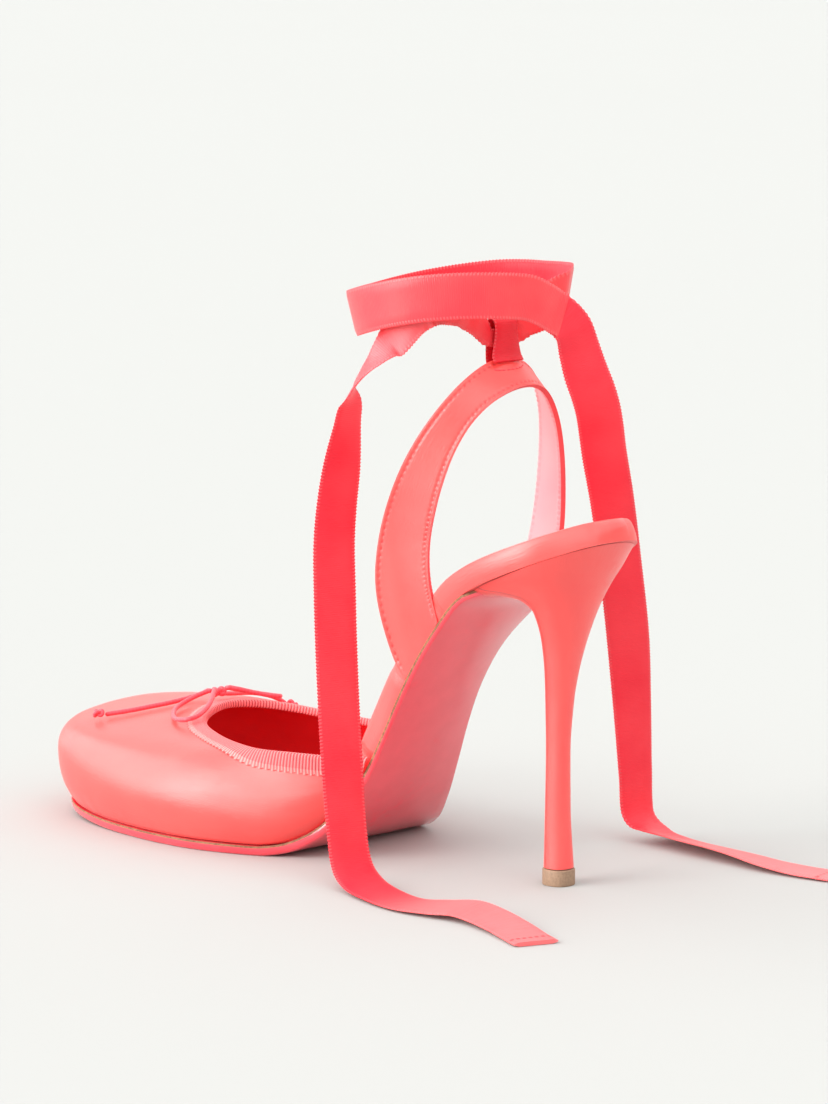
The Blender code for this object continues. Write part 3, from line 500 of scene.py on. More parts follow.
def tube(name, points, radius, spacing, sides=14, twist=0.0, ridge=0.0, round_ends=True):
    """A round cord along a curve through points, its strands raised as a twisted ridge."""
    at = curve_through(numbered(points))
    stops = walk(at, len(points) - 1, spacing)
    places = [Vector(at(t)) for t, _ in stops]
    side = None
    frames = []
    for k, here in enumerate(places):
        run = (places[min(k + 1, len(places) - 1)] - places[max(k - 1, 0)]).normalized()
        side = side - run * side.dot(run) if side else run.orthogonal()
        side.normalize()
        frames.append((here, side.copy(), run.cross(side)))

    def place(i, j):
        here, a, b = frames[i]
        angle = 2 * math.pi * (j % sides) / sides
        size = radius * (1 + ridge * math.cos(2 * angle + twist * stops[i][1]))
        end = min(i, len(frames) - 1 - i) if round_ends else 2
        size *= (0.55, 0.88, 1.0)[min(end, 2)]
        return here + (a * math.cos(angle) + b * math.sin(angle)) * size

    def chart(i, j):
        return stops[i][1], 2 * math.pi * radius * j / sides

    made = skin(name, len(stops) - 1, sides, place, chart, fill=True)
    return made, places, stops[-1][1]


# %% [markdown]
# ## Cloth, stitches and handling as shared groups
# Satin, ribbed ribbon and twisted cord all show threads, only at other sizes. A photograph of
# cloth would give them at one scale and one light, so they are worked out from noise and waves
# on the UV map, once each as a group with named sockets. The groups give out heights and masks
# that vary over the surface. The shader itself stays in each material.


# %% Node helpers
def node(tree, kind, inputs=None, **settings):
    """A node with its settings, its inputs given as values or as sockets to link."""
    made = tree.nodes.new(kind)
    for key, value in settings.items():
        setattr(made, key, value)
    for key, value in (inputs or {}).items():
        if isinstance(value, bpy.types.NodeSocket):
            tree.links.new(value, made.inputs[key])
        else:
            made.inputs[key].default_value = value
    return made


def value_of(tree, operation, *terms):
    """The output of a Math node."""
    return node(tree, "ShaderNodeMath", dict(enumerate(terms)), operation=operation).outputs[0]


def ramp(tree, value, low, high, to_low=0.0, to_high=1.0):
    """The value taken smoothly from one range to another."""
    inputs = {"Value": value, "From Min": low, "From Max": high, "To Min": to_low, "To Max": to_high}
    return node(tree, "ShaderNodeMapRange", inputs, interpolation_type="SMOOTHSTEP").outputs[0]


def blend_colours(tree, share, first, second):
    made = node(tree, "ShaderNodeMix", {0: share}, data_type="RGBA")
    for socket, colour in ((made.inputs[6], first), (made.inputs[7], second)):
        if isinstance(colour, bpy.types.NodeSocket):
            tree.links.new(colour, socket)
        else:
            socket.default_value = (*colour, 1.0)
    return made.outputs[2]


def new_group(name, inputs, outputs):
    tree = bpy.data.node_groups.new(name, "ShaderNodeTree")
    for label, kind in inputs:
        tree.interface.new_socket(name=label, in_out="INPUT", socket_type=kind)
    for label in outputs:
        tree.interface.new_socket(name=label, in_out="OUTPUT", socket_type="NodeSocketFloat")
    return tree, tree.nodes.new("NodeGroupInput").outputs, tree.nodes.new("NodeGroupOutput")


VECTOR, FLOAT = "NodeSocketVector", "NodeSocketFloat"

# %% [markdown]
# ### Threads
# Satin floats long threads over short ones, so its surface is made of fine streaks. Noise that
# is stretched along the cloth gives the streaks, and a second, large noise gives the slow
# change of tone where the cloth has been pulled or pressed.

# %% Threads group
threads, given, out = new_group(
    "threads", [("Vector", VECTOR), ("Along", FLOAT), ("Across", FLOAT)], ["Height", "Tone"])
axes = node(threads, "ShaderNodeSeparateXYZ", {0: given["Vector"]}).outputs
stretched = node(threads, "ShaderNodeCombineXYZ", {
    0: value_of(threads, "MULTIPLY", axes[0], given["Along"]),
    1: value_of(threads, "MULTIPLY", axes[1], given["Across"]),
}).outputs[0]
streaks = node(threads, "ShaderNodeTexNoise", {"Vector": stretched, "Scale": 1.0, "Detail": 2.0})
clouds = node(threads, "ShaderNodeTexNoise", {"Vector": given["Vector"], "Scale": 38.0, "Detail": 3.0})
threads.links.new(streaks.outputs[0], out.inputs["Height"])
threads.links.new(ramp(threads, clouds.outputs[0], 0.3, 0.7), out.inputs["Tone"])
print("group:", threads.name)

# %% [markdown]
# ### Ribs
# A ribbed ribbon has thick cords under its face, square to its length. A cosine along the UV
# gives them, and its hollows are masked so that painted shade can darken them.

# %% Ribs group
ribs, given, out = new_group("ribs", [("Vector", VECTOR), ("Pitch", FLOAT)], ["Rib"])
along = node(ribs, "ShaderNodeSeparateXYZ", {0: given["Vector"]}).outputs[0]
turns = value_of(ribs, "MULTIPLY", value_of(ribs, "DIVIDE", along, given["Pitch"]), 2 * math.pi)
wave = value_of(ribs, "MULTIPLY_ADD", value_of(ribs, "COSINE", turns), 0.5, 0.5)
ribs.links.new(wave, out.inputs["Rib"])
print("group:", ribs.name)

# %% [markdown]
# ### A row of stitches
# Stitches run beside an edge at a set distance. The mask is a thin band at that distance,
# broken at the stitch length, and it reads the distance from the cloth's middle line, so one
# group serves both edges.

# %% Stitch group
stitches, given, out = new_group(
    "stitches",
    [("Vector", VECTOR), ("Line", FLOAT), ("Width", FLOAT), ("Pitch", FLOAT)], ["Thread", "Band"])
axes = node(stitches, "ShaderNodeSeparateXYZ", {0: given["Vector"]}).outputs
away = value_of(stitches, "ABSOLUTE", value_of(
    stitches, "SUBTRACT", value_of(stitches, "ABSOLUTE", axes[1]), given["Line"]))
band = ramp(stitches, value_of(stitches, "DIVIDE", away, given["Width"]), 1.0, 0.3)
turns = value_of(stitches, "MULTIPLY", value_of(stitches, "DIVIDE", axes[0], given["Pitch"]), 2 * math.pi)
broken = ramp(stitches, value_of(stitches, "COSINE", turns), -0.5, 0.1)
stitches.links.new(value_of(stitches, "MULTIPLY", band, broken), out.inputs["Thread"])
stitches.links.new(band, out.inputs["Band"])
print("group:", stitches.name)

# %% [markdown]
# ### Handling
# A shoe that has been picked up carries faint rubs and smears. They change the gloss more than
# the colour. Two noises of different size, multiplied, leave small patches and long gaps.

# %% Handling group
handling, given, out = new_group("handling", [("Vector", VECTOR), ("Scale", FLOAT)], ["Rub"])
patches = node(handling, "ShaderNodeTexNoise",
               {"Vector": given["Vector"], "Scale": given["Scale"], "Detail": 4.0})
finer = node(handling, "ShaderNodeTexNoise", {
    "Vector": given["Vector"], "Scale": value_of(handling, "MULTIPLY", given["Scale"], 7.0), "Detail": 6.0})
rub = value_of(handling, "MULTIPLY", ramp(handling, patches.outputs[0], 0.45, 0.75),
               ramp(handling, finer.outputs[0], 0.4, 0.7))
handling.links.new(rub, out.inputs["Rub"])
print("group:", handling.name)

# %% [markdown]
# ## The finishes
# Each finish is a Principled shader with its own constants: satin is soft and a little sheeny,
# the sole is a clear lacquer, the rubber is dull. Colours were judged from the picture,
# from the lit side and the shaded side of each part.


# %% Start of a finish
def start_finish(name, roughness, **constants):
    """A material, its tree, its shader, its UV vector and its object vector."""
    made = bpy.data.materials.new(name)
    made.use_nodes = True
    tree = made.node_tree
    shader = tree.nodes["Principled BSDF"]
    shader.inputs["Roughness"].default_value = roughness
    for label, value in constants.items():
        shader.inputs[label.replace("_", " ")].default_value = value
    chart = node(tree, "ShaderNodeUVMap", uv_map="UVMap").outputs[0]
    place = node(tree, "ShaderNodeTexCoord").outputs["Object"]
    return made, tree, shader, chart, place


def lie_of_threads(tree, shader):
    """The gloss is drawn out across the threads, which run along the UV map's first axis."""
    tangent = node(tree, "ShaderNodeTangent", direction_type="UV_MAP", uv_map="UVMap").outputs[0]
    tree.links.new(tangent, shader.inputs["Tangent"])


def place_group(tree, group, inputs):
    made = tree.nodes.new("ShaderNodeGroup")
    made.node_tree = group
    for label, value in inputs.items():
        if isinstance(value, bpy.types.NodeSocket):
            tree.links.new(value, made.inputs[label])
        else:
            made.inputs[label].default_value = value
    return made.outputs


def bump(tree, shader, height, distance, strength=1.0):
    made = node(tree, "ShaderNodeBump", {"Height": height, "Distance": distance, "Strength": strength})
    tree.links.new(made.outputs[0], shader.inputs["Normal"])


# %% [markdown]
# ### Satin
# The shoe's satin is lit almost to salmon on its full curves and stays coral in its turns. The
# stitched kind has a puckered row beside each edge, as on the back strap.


# %% Satin
def satin(name, light, deep, roughness=0.36, sheen=0.2, seam=0.0):
    """Satin cloth. With seam, it has a sunk line of that width along the middle of its chart."""
    made, tree, shader, chart, place = start_finish(
        name, roughness, Sheen_Weight=sheen, Sheen_Roughness=0.45, Specular_IOR_Level=0.9,
        Anisotropic=0.6)
    shader.inputs["Sheen Tint"].default_value = (1.0, 0.72, 0.68, 1.0)
    lie_of_threads(tree, shader)
    cloth = place_group(tree, threads, {"Vector": chart, "Along": 240.0, "Across": 3600.0})
    rubs = place_group(tree, handling, {"Vector": place, "Scale": 46.0})["Rub"]
    colour = blend_colours(tree, cloth["Tone"], light, deep)
    height = value_of(tree, "MULTIPLY", cloth["Height"], 0.5)
    if seam:
        sunk = place_group(tree, stitches, {
            "Vector": chart, "Line": 0.0, "Width": seam, "Pitch": 0.002})["Band"]
        colour = blend_colours(tree, value_of(tree, "MULTIPLY", sunk, 0.6), colour, (0.50, 0.012, 0.022))
        height = value_of(tree, "SUBTRACT", height, value_of(tree, "MULTIPLY", sunk, 2.0))
    tree.links.new(colour, shader.inputs["Base Color"])
    tree.links.new(ramp(tree, rubs, 0.0, 1.0, roughness, roughness + 0.12), shader.inputs["Roughness"])
    bump(tree, shader, height, 0.00012)
    return made


def edge_stitched(name, light, deep):
    """Satin with a row of stitches a set way in from both edges, whose distance is an attribute."""
    made = satin(name, light, deep)
    tree = made.node_tree
    shader = tree.nodes["Principled BSDF"]
    sunk = node(tree, "ShaderNodeAttribute", attribute_name="stitch").outputs["Fac"]
    before = shader.inputs["Base Color"].links[0].from_socket
    dark = blend_colours(tree, value_of(tree, "MULTIPLY", sunk, 0.75), before, (0.50, 0.012, 0.022))
    tree.links.new(dark, shader.inputs["Base Color"])
    return made


CORAL, DEEP_CORAL = (0.95, 0.080, 0.070), (0.93, 0.064, 0.058)
vamp_satin = satin("vamp_satin", CORAL, DEEP_CORAL)
rim_satin = satin("rim_satin", CORAL, DEEP_CORAL)
heel_satin = satin("heel_satin", CORAL, DEEP_CORAL, seam=0.0005)
strap_satin = edge_stitched("strap_satin", CORAL, DEEP_CORAL)
edge_fold = satin("edge_fold", (0.80, 0.05, 0.055), (0.66, 0.03, 0.04), 0.5, 0.1)
lining_pink = satin("lining_pink", (0.93, 0.29, 0.31), (0.90, 0.24, 0.27), 0.55, 0.2)
vamp_lining = satin("vamp_lining", (0.96, 0.016, 0.026), (0.93, 0.012, 0.022), 0.6, 0.0)
print("satins:", [m.name for m in bpy.data.materials if "satin" in m.name or "lining" in m.name])

# %% [markdown]
# ### Ribbon, binding and cord
# The ribbon's face is lighter and glossier than its back, so its two sides are two finishes. The
# back's deeper red is partly its own tone and partly painted shade.
# Both have the fine stitched edge of a woven ribbon. The binding is matt and ribbed, and the
# bow's cord is a twisted tube of the same thread.


# %% Ribbon finishes
# The second value is the colour of painted light that the ribbon is mixed towards.
HEM, PAINTED_LIGHT_RIBBON = 0.0042, (0.93, 0.165, 0.170)


def ribbon_finish(name, light, deep, roughness, sheen, painted_light_at=()):
    """Ribbon cloth. From the first to the last distance of each entry of its last argument it is painted that
    much paler, as painted light.
    """
    made, tree, shader, chart, place = start_finish(
        name, roughness, Sheen_Weight=sheen, Sheen_Roughness=0.35, Specular_IOR_Level=0.5,
        Anisotropic=0.6)
    shader.inputs["Sheen Tint"].default_value = (1.0, 0.62, 0.62, 1.0)
    lie_of_threads(tree, shader)
    cloth = place_group(tree, threads, {"Vector": chart, "Along": 2600.0, "Across": 420.0})
    weft = place_group(tree, ribs, {"Vector": chart, "Pitch": 0.00062})["Rib"]
    sewn = place_group(tree, stitches, {"Vector": chart, "Line": 0.0063, "Width": 0.0006, "Pitch": 0.001})
    colour = blend_colours(tree, cloth["Tone"], light, deep)
    sides = node(tree, "ShaderNodeSeparateXYZ", {0: chart}).outputs
    for first, last, most in painted_light_at:
        pale = place_group(tree, threads, {"Vector": chart, "Along": 2600.0, "Across": 90.0})["Height"]
        share = value_of(tree, "MULTIPLY", ramp(tree, sides[0], first, last, 0.0, most),
                         ramp(tree, pale, 0.2, 0.6, 0.75, 1.0))
        colour = blend_colours(tree, share, colour, PAINTED_LIGHT_RIBBON)
    lighter = tuple(min(1.0, 0.25 + 0.8 * c) for c in light)
    colour = blend_colours(tree, value_of(tree, "MULTIPLY", sewn["Thread"], 0.22), colour, lighter)
    turned = node(tree, "ShaderNodeCombineXYZ", {0: sides[1], 1: sides[0]}).outputs[0]
    hem = place_group(tree, stitches, {
        "Vector": turned, "Line": HEM, "Width": 0.0011, "Pitch": 0.0019})["Thread"]
    colour = blend_colours(tree, value_of(tree, "MULTIPLY", hem, 0.7), colour, (0.45, 0.010, 0.020))
    tree.links.new(colour, shader.inputs["Base Color"])
    rubs = place_group(tree, handling, {"Vector": place, "Scale": 60.0})["Rub"]
    tree.links.new(ramp(tree, rubs, 0.0, 1.0, roughness, roughness + 0.1), shader.inputs["Roughness"])
    height = value_of(tree, "ADD", value_of(tree, "MULTIPLY", cloth["Height"], 0.5),
                      value_of(tree, "MULTIPLY", weft, 0.35))
    bump(tree, shader, value_of(tree, "ADD", height, sewn["Thread"]), 0.00010)
    return made


ribbon_face = ribbon_finish("ribbon_face", (0.93, 0.070, 0.078), (0.87, 0.038, 0.055), 0.33, 0.15)
# The ends' face is a deeper red than the turn's face of the same ribbon: painted shade.
FALL_SHADE_LIGHT, FALL_SHADE_DEEP = (0.90, 0.030, 0.050), (0.84, 0.008, 0.030)
# ON_FLOOR paints the ends paler where they lie flat on the floor: painted highlight. BY_THE_TURN paints the
# left end paler just after the turn, so that its painted shade fades in there.
ON_FLOOR, BY_THE_TURN = (-0.078, -0.044, 1.0), (-0.228, -0.238, 0.45)
left_fall = ribbon_finish("left_fall", FALL_SHADE_LIGHT, FALL_SHADE_DEEP, 0.40, 0.12, [BY_THE_TURN, ON_FLOOR])
right_fall = ribbon_finish("right_fall", FALL_SHADE_LIGHT, FALL_SHADE_DEEP, 0.40, 0.12, [ON_FLOOR])
end_back = ribbon_finish("end_back", FALL_SHADE_LIGHT, FALL_SHADE_DEEP, 0.5, 0.1, [ON_FLOOR])
# The back's deep red is partly its own tone and partly painted shade. It dresses the turn's inside and the
# loop.
ribbon_back = ribbon_finish("ribbon_back", (0.80, 0.014, 0.032), (0.72, 0.007, 0.024), 0.5, 0.05)
print("ribbon:", ribbon_face.name, left_fall.name, right_fall.name, ribbon_back.name)


# %% [markdown]
# The binding is a ribbed ribbon and the bow a twisted cord. Their ribs and strands repeat far finer
# than a mesh could carry, so bands along the UV map draw them, in colour and in bump together.
# The colour's darker hollows are painted shade.

# %% Binding and cord finishes
def thread_finish(name, light, groove_shade, pitch, distance, streak, roughness=0.6):
    """A matt thread finish whose hollows are darkened with painted shade."""
    made, tree, shader, chart, place = start_finish(
        name, roughness, Sheen_Weight=0.25, Sheen_Roughness=0.5)
    shader.inputs["Sheen Tint"].default_value = (1.0, 0.7, 0.7, 1.0)
    rib = place_group(tree, ribs, {"Vector": chart, "Pitch": pitch})["Rib"]
    cloth = place_group(tree, threads, {"Vector": chart, "Along": streak, "Across": 2400.0})
    colour = blend_colours(tree, ramp(tree, rib, 0.12, 0.72), groove_shade, light)
    colour = blend_colours(tree, value_of(tree, "MULTIPLY", cloth["Tone"], 0.35), colour,
                           tuple(0.86 * c for c in light))
    tree.links.new(colour, shader.inputs["Base Color"])
    rubs = place_group(tree, handling, {"Vector": place, "Scale": 60.0})["Rub"]
    tree.links.new(ramp(tree, rubs, 0.0, 1.0, roughness, roughness + 0.1), shader.inputs["Roughness"])
    bump(tree, shader, value_of(tree, "MULTIPLY_ADD", rib, 0.7, cloth["Height"]), distance)
    return made


RIB_PITCH, PICOT_PITCH = 0.00105, 0.0021
# The second colour of each is painted shade in its hollows.
binding_ribs = thread_finish(
    "binding_ribs", (0.92, 0.21, 0.21), (0.46, 0.022, 0.035), RIB_PITCH, 0.00008, 900.0)
binding_picot = thread_finish(
    "binding_picot", (0.93, 0.30, 0.28), (0.66, 0.08, 0.09), PICOT_PITCH / 2, 0.00008, 900.0)
bow_cord = thread_finish(
    "bow_cord", (0.87, 0.075, 0.105), (0.80, 0.055, 0.085), 0.0011, 0.00002, 1200.0, 0.45)
print("threads:", binding_ribs.name, binding_picot.name, bow_cord.name)

# %% [markdown]
# ### Sole lacquer, raw edge and rubber
# The sole is leather under a coloured lacquer: a clear coat over a faintly uneven red, with
# fine rubs. Its top edge is raw leather, which shows as a thin tan line. The top piece under
# the heel is tan rubber.


# %% Sole and rubber finishes
def hard_finish(name, light, deep, roughness, coat, grain, rub_gain, distance, spots=60.0):
    made, tree, shader, _, place = start_finish(name, roughness, Coat_Roughness=0.10, Coat_IOR=1.7)
    rubs = place_group(tree, handling, {"Vector": place, "Scale": spots})["Rub"]
    speckle = node(tree, "ShaderNodeTexNoise", {"Vector": place, "Scale": grain, "Detail": 4.0}).outputs[0]
    tree.links.new(blend_colours(tree, ramp(tree, speckle, 0.3, 0.7), light, deep),
                   shader.inputs["Base Color"])
    tree.links.new(ramp(tree, rubs, 0.0, 1.0, roughness, roughness + rub_gain), shader.inputs["Roughness"])
    if coat:
        tree.links.new(ramp(tree, rubs, 0.0, 1.0, coat, coat * 0.6), shader.inputs["Coat Weight"])
    bump(tree, shader, speckle, distance, 0.6)
    return made


sole_lacquer = hard_finish(
    "sole_lacquer", (0.86, 0.045, 0.075), (0.82, 0.038, 0.065), 0.34, 1.0, 160.0, 0.16, 0.00002)
raw_edge = hard_finish("raw_edge", (0.36, 0.17, 0.085), (0.22, 0.085, 0.045), 0.7, 0.0, 900.0, 0.1, 0.0001)
heel_rubber = hard_finish(
    "heel_rubber", (0.36, 0.225, 0.145), (0.28, 0.175, 0.110), 0.62, 0.0, 1500.0, 0.15, 0.00008)
print("finishes:", len(bpy.data.materials))

# %% [markdown]
# ## The ribbon's two ends
# One long satin ribbon holds the shoe. Its two ends hang from the ankle turn and lie on the
# floor, so each is a free cord with a known route: the points are the CAD model's own, in
# millimetres from the heel's tip. Cloth simulation could drop it, but it would lose the twist
# and the waves that the picture shows, so the band is swept along the route. Its
# edges get the small loops of a woven ribbon, and its last few millimetres a turned hem.

# %% Rows of the ankle turn
RING_RADIUS, RING_LIFT, RING_AHEAD = 0.0320, 0.0185, 0.0162
TURN = [
    (0.944, 0.078, 0.411, 0.00, -0.70, 0.65, 1.00, 1.0),
    (0.931, 0.219, 0.714, 0.24, -0.42, 0.88, 1.00, 1.0),
    (0.894, 0.356, 0.876, 0.15, -0.20, 0.96, 1.00, 1.0),
    (0.797, 0.450, 0.941, 0.10, 0.00, 1.00, 1.00, 1.0),
    (0.672, 0.484, 0.930, 0.05, 0.00, 1.00, 1.00, 1.0),
    (0.531, 0.491, 0.876, 0.05, 0.00, 1.00, 0.97, 1.0),
    (0.400, 0.484, 0.724, 0.20, 0.05, 0.97, 0.86, 1.0),
    (0.325, 0.481, 0.589, 0.22, 0.00, 0.97, 0.72, 1.2),
    (0.250, 0.475, 0.443, 0.15, 0.00, 1.00, 0.54, 1.6),
    (0.178, 0.475, 0.324, 0.00, 0.00, 1.00, 0.40, 2.0),
    (0.000, 0.475, 0.314, 0.00, 0.00, 1.00, 0.40, 2.0),
    (-0.178, 0.488, 0.330, 0.00, 0.00, 1.00, 0.40, 2.0),
    (-0.250, 0.525, 0.470, -0.15, 0.05, 1.00, 0.58, 1.6),
    (-0.325, 0.572, 0.600, -0.22, 0.08, 0.97, 0.76, 1.2),
    (-0.453, 0.641, 0.795, -0.20, 0.08, 0.97, 0.93, 1.0),
    (-0.609, 0.675, 0.930, -0.12, 0.08, 0.99, 1.00, 1.0),
    (-0.725, 0.616, 0.995, -0.12, 0.10, 0.98, 1.00, 1.0),
    (-0.856, 0.503, 1.022, -0.14, 0.08, 0.98, 1.00, 1.0),
    (-0.956, 0.331, 1.016, -0.12, 0.05, 0.99, 1.00, 1.0),
    (-1.005, 0.088, 1.005, 0.00, 0.00, 1.00, 1.00, 1.0),
    (-0.989, -0.174, 1.005, 0.00, 0.00, 1.00, 1.00, 1.0),
    (-0.910, -0.424, 0.984, 0.00, 0.00, 1.00, 1.00, 1.0),
    (-0.770, -0.646, 0.930, 0.00, 0.00, 1.00, 1.00, 1.0),
    (-0.576, -0.823, 0.865, 0.00, 0.00, 1.00, 1.00, 1.0),
    (-0.343, -0.944, 0.795, 0.00, 0.00, 1.00, 1.00, 1.0),
    (-0.088, -1.000, 0.724, 0.00, 0.00, 1.00, 1.00, 1.0),
    (0.175, -0.995, 0.665, 0.00, 0.00, 1.00, 1.00, 1.0),
    (0.427, -0.916, 0.627, 0.08, -0.16, 0.98, 1.00, 1.0),
    (0.652, -0.777, 0.622, 0.14, -0.17, 0.97, 1.00, 1.0),
    (0.835, -0.585, 0.659, 0.19, -0.13, 0.97, 1.00, 1.0),
    (0.972, -0.354, 0.735, 0.14, -0.05, 0.99, 1.00, 1.0),
    (1.045, -0.091, 0.832, 0.05, 0.00, 1.00, 1.00, 1.0),
    (1.045, 0.184, 0.930, 0.00, 0.00, 1.00, 1.00, 1.0),
    (0.962, 0.449, 1.011, 0.00, 0.00, 1.00, 1.00, 1.0),
    (0.807, 0.677, 1.054, 0.00, 0.00, 1.00, 1.00, 1.0),
    (0.597, 0.853, 1.059, 0.00, 0.00, 1.00, 1.00, 1.0),
    (0.375, 0.958, 1.038, -0.08, 0.02, 1.00, 1.00, 1.0),
    (0.172, 0.988, 0.989, -0.25, 0.05, 0.97, 1.00, 1.0),
    (0.009, 1.000, 0.881, -0.50, -0.03, 0.86, 1.00, 1.0),
    (-0.162, 0.981, 0.751, -0.66, -0.06, 0.75, 1.00, 1.0),
    (-0.247, 0.987, 0.681, -0.78, -0.02, 0.63, 1.00, 1.0),
    (-0.291, 1.012, 0.595, -0.85, 0.10, 0.52, 1.00, 1.0),
    (-0.344, 1.016, 0.373, -0.90, 0.17, 0.35, 1.00, 1.0),
]
turn_rows = [
    (*(STRAP_TOP + Vector((side * RING_RADIUS, back * RING_RADIUS - RING_AHEAD, rise * RING_LIFT))), *rest)
    for side, back, rise, *rest in TURN
]
TURN_FIRST, TURN_LAST = 2, len(TURN) - 3  # the two ends take over its other rows


def raised(rows, lift):
    """The rows moved off the band's face, for a layer that lies on it."""
    found = []
    for k, row in enumerate(rows):
        ahead, behind = rows[min(k + 1, len(rows) - 1)], rows[max(k - 1, 0)]
        run = Vector(ahead[:3]) - Vector(behind[:3])
        facing = Vector(row[3:6]).cross(run).normalized()
        found.append((*(Vector(row[:3]) + facing * lift), *row[3:]))
    return found

# %% [markdown]
# A ribbon is a flat band that bends and turns along its route. Each row of a route holds a place
# and the way the width points there, so a twist is only a row whose width has turned. The section
# is closed and thin, which gives both faces and the selvedges in one skin.

# %% Sweep of a ribbon
RIBBON_WIDTH, RIBBON = 0.0135, 0.0008
EDGE_LOOP, EDGE_LOOP_DEPTH = 0.001, 0.00016
ACROSS = 9
SECTION = [(-math.cos(math.pi * k / ACROSS), 1) for k in range(ACROSS + 1)]
SECTION = [(x, min(1.0, 4.0 * (1 - abs(x)) + 0.25)) for x, _ in SECTION]
SECTION = SECTION + [(x, -z) for x, z in reversed(SECTION)]


def sweep_ribbon(name, rows, hems=(False, False), laps=(0.0, 0.0), spacing=0.00025):
    """A closed band along rows of place, width direction, and shares of width and thickness.
    Laps carry its ends on under the next piece of the same ribbon."""
    at = curve_through(numbered(rows))
    stops = walk(at, len(rows) - 1, spacing)
    length = stops[-1][1]
    found = [at(t) for t, _ in stops]
    frames = []
    for k, row in enumerate(found):
        run = Vector(found[min(k + 1, len(found) - 1)][:3]) - Vector(found[max(k - 1, 0)][:3])
        run.normalize()
        width = Vector(row[3:6])
        width = (width - run * width.dot(run)).normalized()
        s = stops[k][1]
        half = RIBBON_WIDTH * row[6] / 2 - EDGE_LOOP_DEPTH
        half += EDGE_LOOP_DEPTH * math.cos(2 * math.pi * s / EDGE_LOOP)
        thick = RIBBON * row[7] / 2
        for hem, reach in zip(hems, (s, length - s)):
            if hem and reach < 0.0045:
                thick *= 1.5 + 0.3 * smooth_step((reach - 0.0035) / 0.001)
        lap = run * (laps[1] if k == len(found) - 1 else -laps[0] if k == 0 else 0.0)
        frames.append((Vector(row[:3]) + lap, width * half, width.cross(run).normalized() * thick))
    rows_round = len(SECTION)
    chart_start = -length if hems[1] else 2 * HEM

    def place(i, j):
        here, width, facing = frames[i]
        x, z = SECTION[j % rows_round]
        return here - width * x + facing * z

    def chart(i, j):
        return chart_start + stops[i][1], SECTION[min(j, rows_round - 1)][0] * RIBBON_WIDTH / 2

    made = skin(name, len(frames) - 1, rows_round, place, chart, fill=True, sharp=60.0,
                side_of=lambda i, j: 0 if j < ACROSS + 1 else 1)
    return made, [frame[0] for frame in frames], length


def route(points):
    """A ribbon's route in metres, from millimetres left of, behind and above the heel's tip."""
    return [(*(HEEL_TIP + Vector(row[:3]) * MM), *row[3:], 1.0, 1.0) for row in points]


def thinned(places, step=12):
    return [*places[::step], places[-1]]


# %% [markdown]
# This end leaves the ankle turn, twists once, hangs to the floor and runs out flat on it. It starts
# with the turn's own rows, because a join between two pieces would show on a smooth band.

# %% Left end of the ribbon
LEFT_END = [
    (30.5, -36.1, 159.8, 0.00, -0.70, 0.65),
    (30.9, -38.9, 156.6, -0.24, -0.91, 0.34),
    (33.9, -41.3, 152.2, -0.49, -0.87, 0.12),
    (36.9, -43.2, 148.2, -0.61, -0.78, -0.02),
    (39.3, -44.6, 144.0, -0.70, -0.70, -0.14),
    (39.6, -45.6, 139.2, -0.93, -0.32, -0.20),
    (39.9, -46.7, 133.0, -0.96, -0.18, -0.18),
    (40.6, -48.4, 120.3, -0.98, 0.16, -0.08),
    (41.1, -49.9, 109.0, -0.96, 0.26, -0.04),
    (41.3, -50.7, 98.0, -0.95, 0.31, 0.00),
    (41.0, -50.8, 85.0, -0.94, 0.34, 0.00),
    (40.8, -50.5, 70.0, -0.94, 0.34, 0.00),
    (41.2, -49.0, 51.0, -0.95, 0.32, 0.00),
    (41.5, -47.3, 33.0, -0.95, 0.32, 0.00),
    (42.0, -45.2, 17.0, -0.97, 0.25, 0.03),
    (43.6, -41.4, 6.5, -0.97, 0.24, 0.06),
    (47.0, -33.0, 2.3, -0.95, 0.30, 0.08),
    (51.0, -20.5, 1.3, -0.95, 0.30, 0.05),
    (53.2, -8.5, 1.2, -1.00, 0.05, 0.06),
    (52.2, 2.5, 2.0, -0.98, -0.15, 0.12),
    (50.6, 11.5, 2.8, -1.00, -0.05, 0.16),
    (51.0, 20.0, 2.2, -0.99, 0.15, 0.12),
    (53.8, 31.0, 1.4, -0.95, 0.28, 0.06),
    (58.0, 42.0, 0.8, -0.94, 0.30, 0.02),
    (60.6, 48.4, 0.7, -0.94, 0.30, 0.00),
]
left_end, middle, reach = sweep_ribbon(
    "ribbon_end_left_cloth", turn_rows[TURN_FIRST:0:-1] + route(LEFT_END), hems=(False, True))
dress(left_end, "ribbon", [left_fall, end_back], "ribbon_end_left")
tuple(middle[0])
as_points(thinned(middle))
print("left end, mm:", round(reach / MM, 1))

# %% [markdown]
# This end folds over the turn that it comes from, falls behind the heel and lies down on the floor.
# It is raised a little where it leaves, so two layers of cloth never share one place.

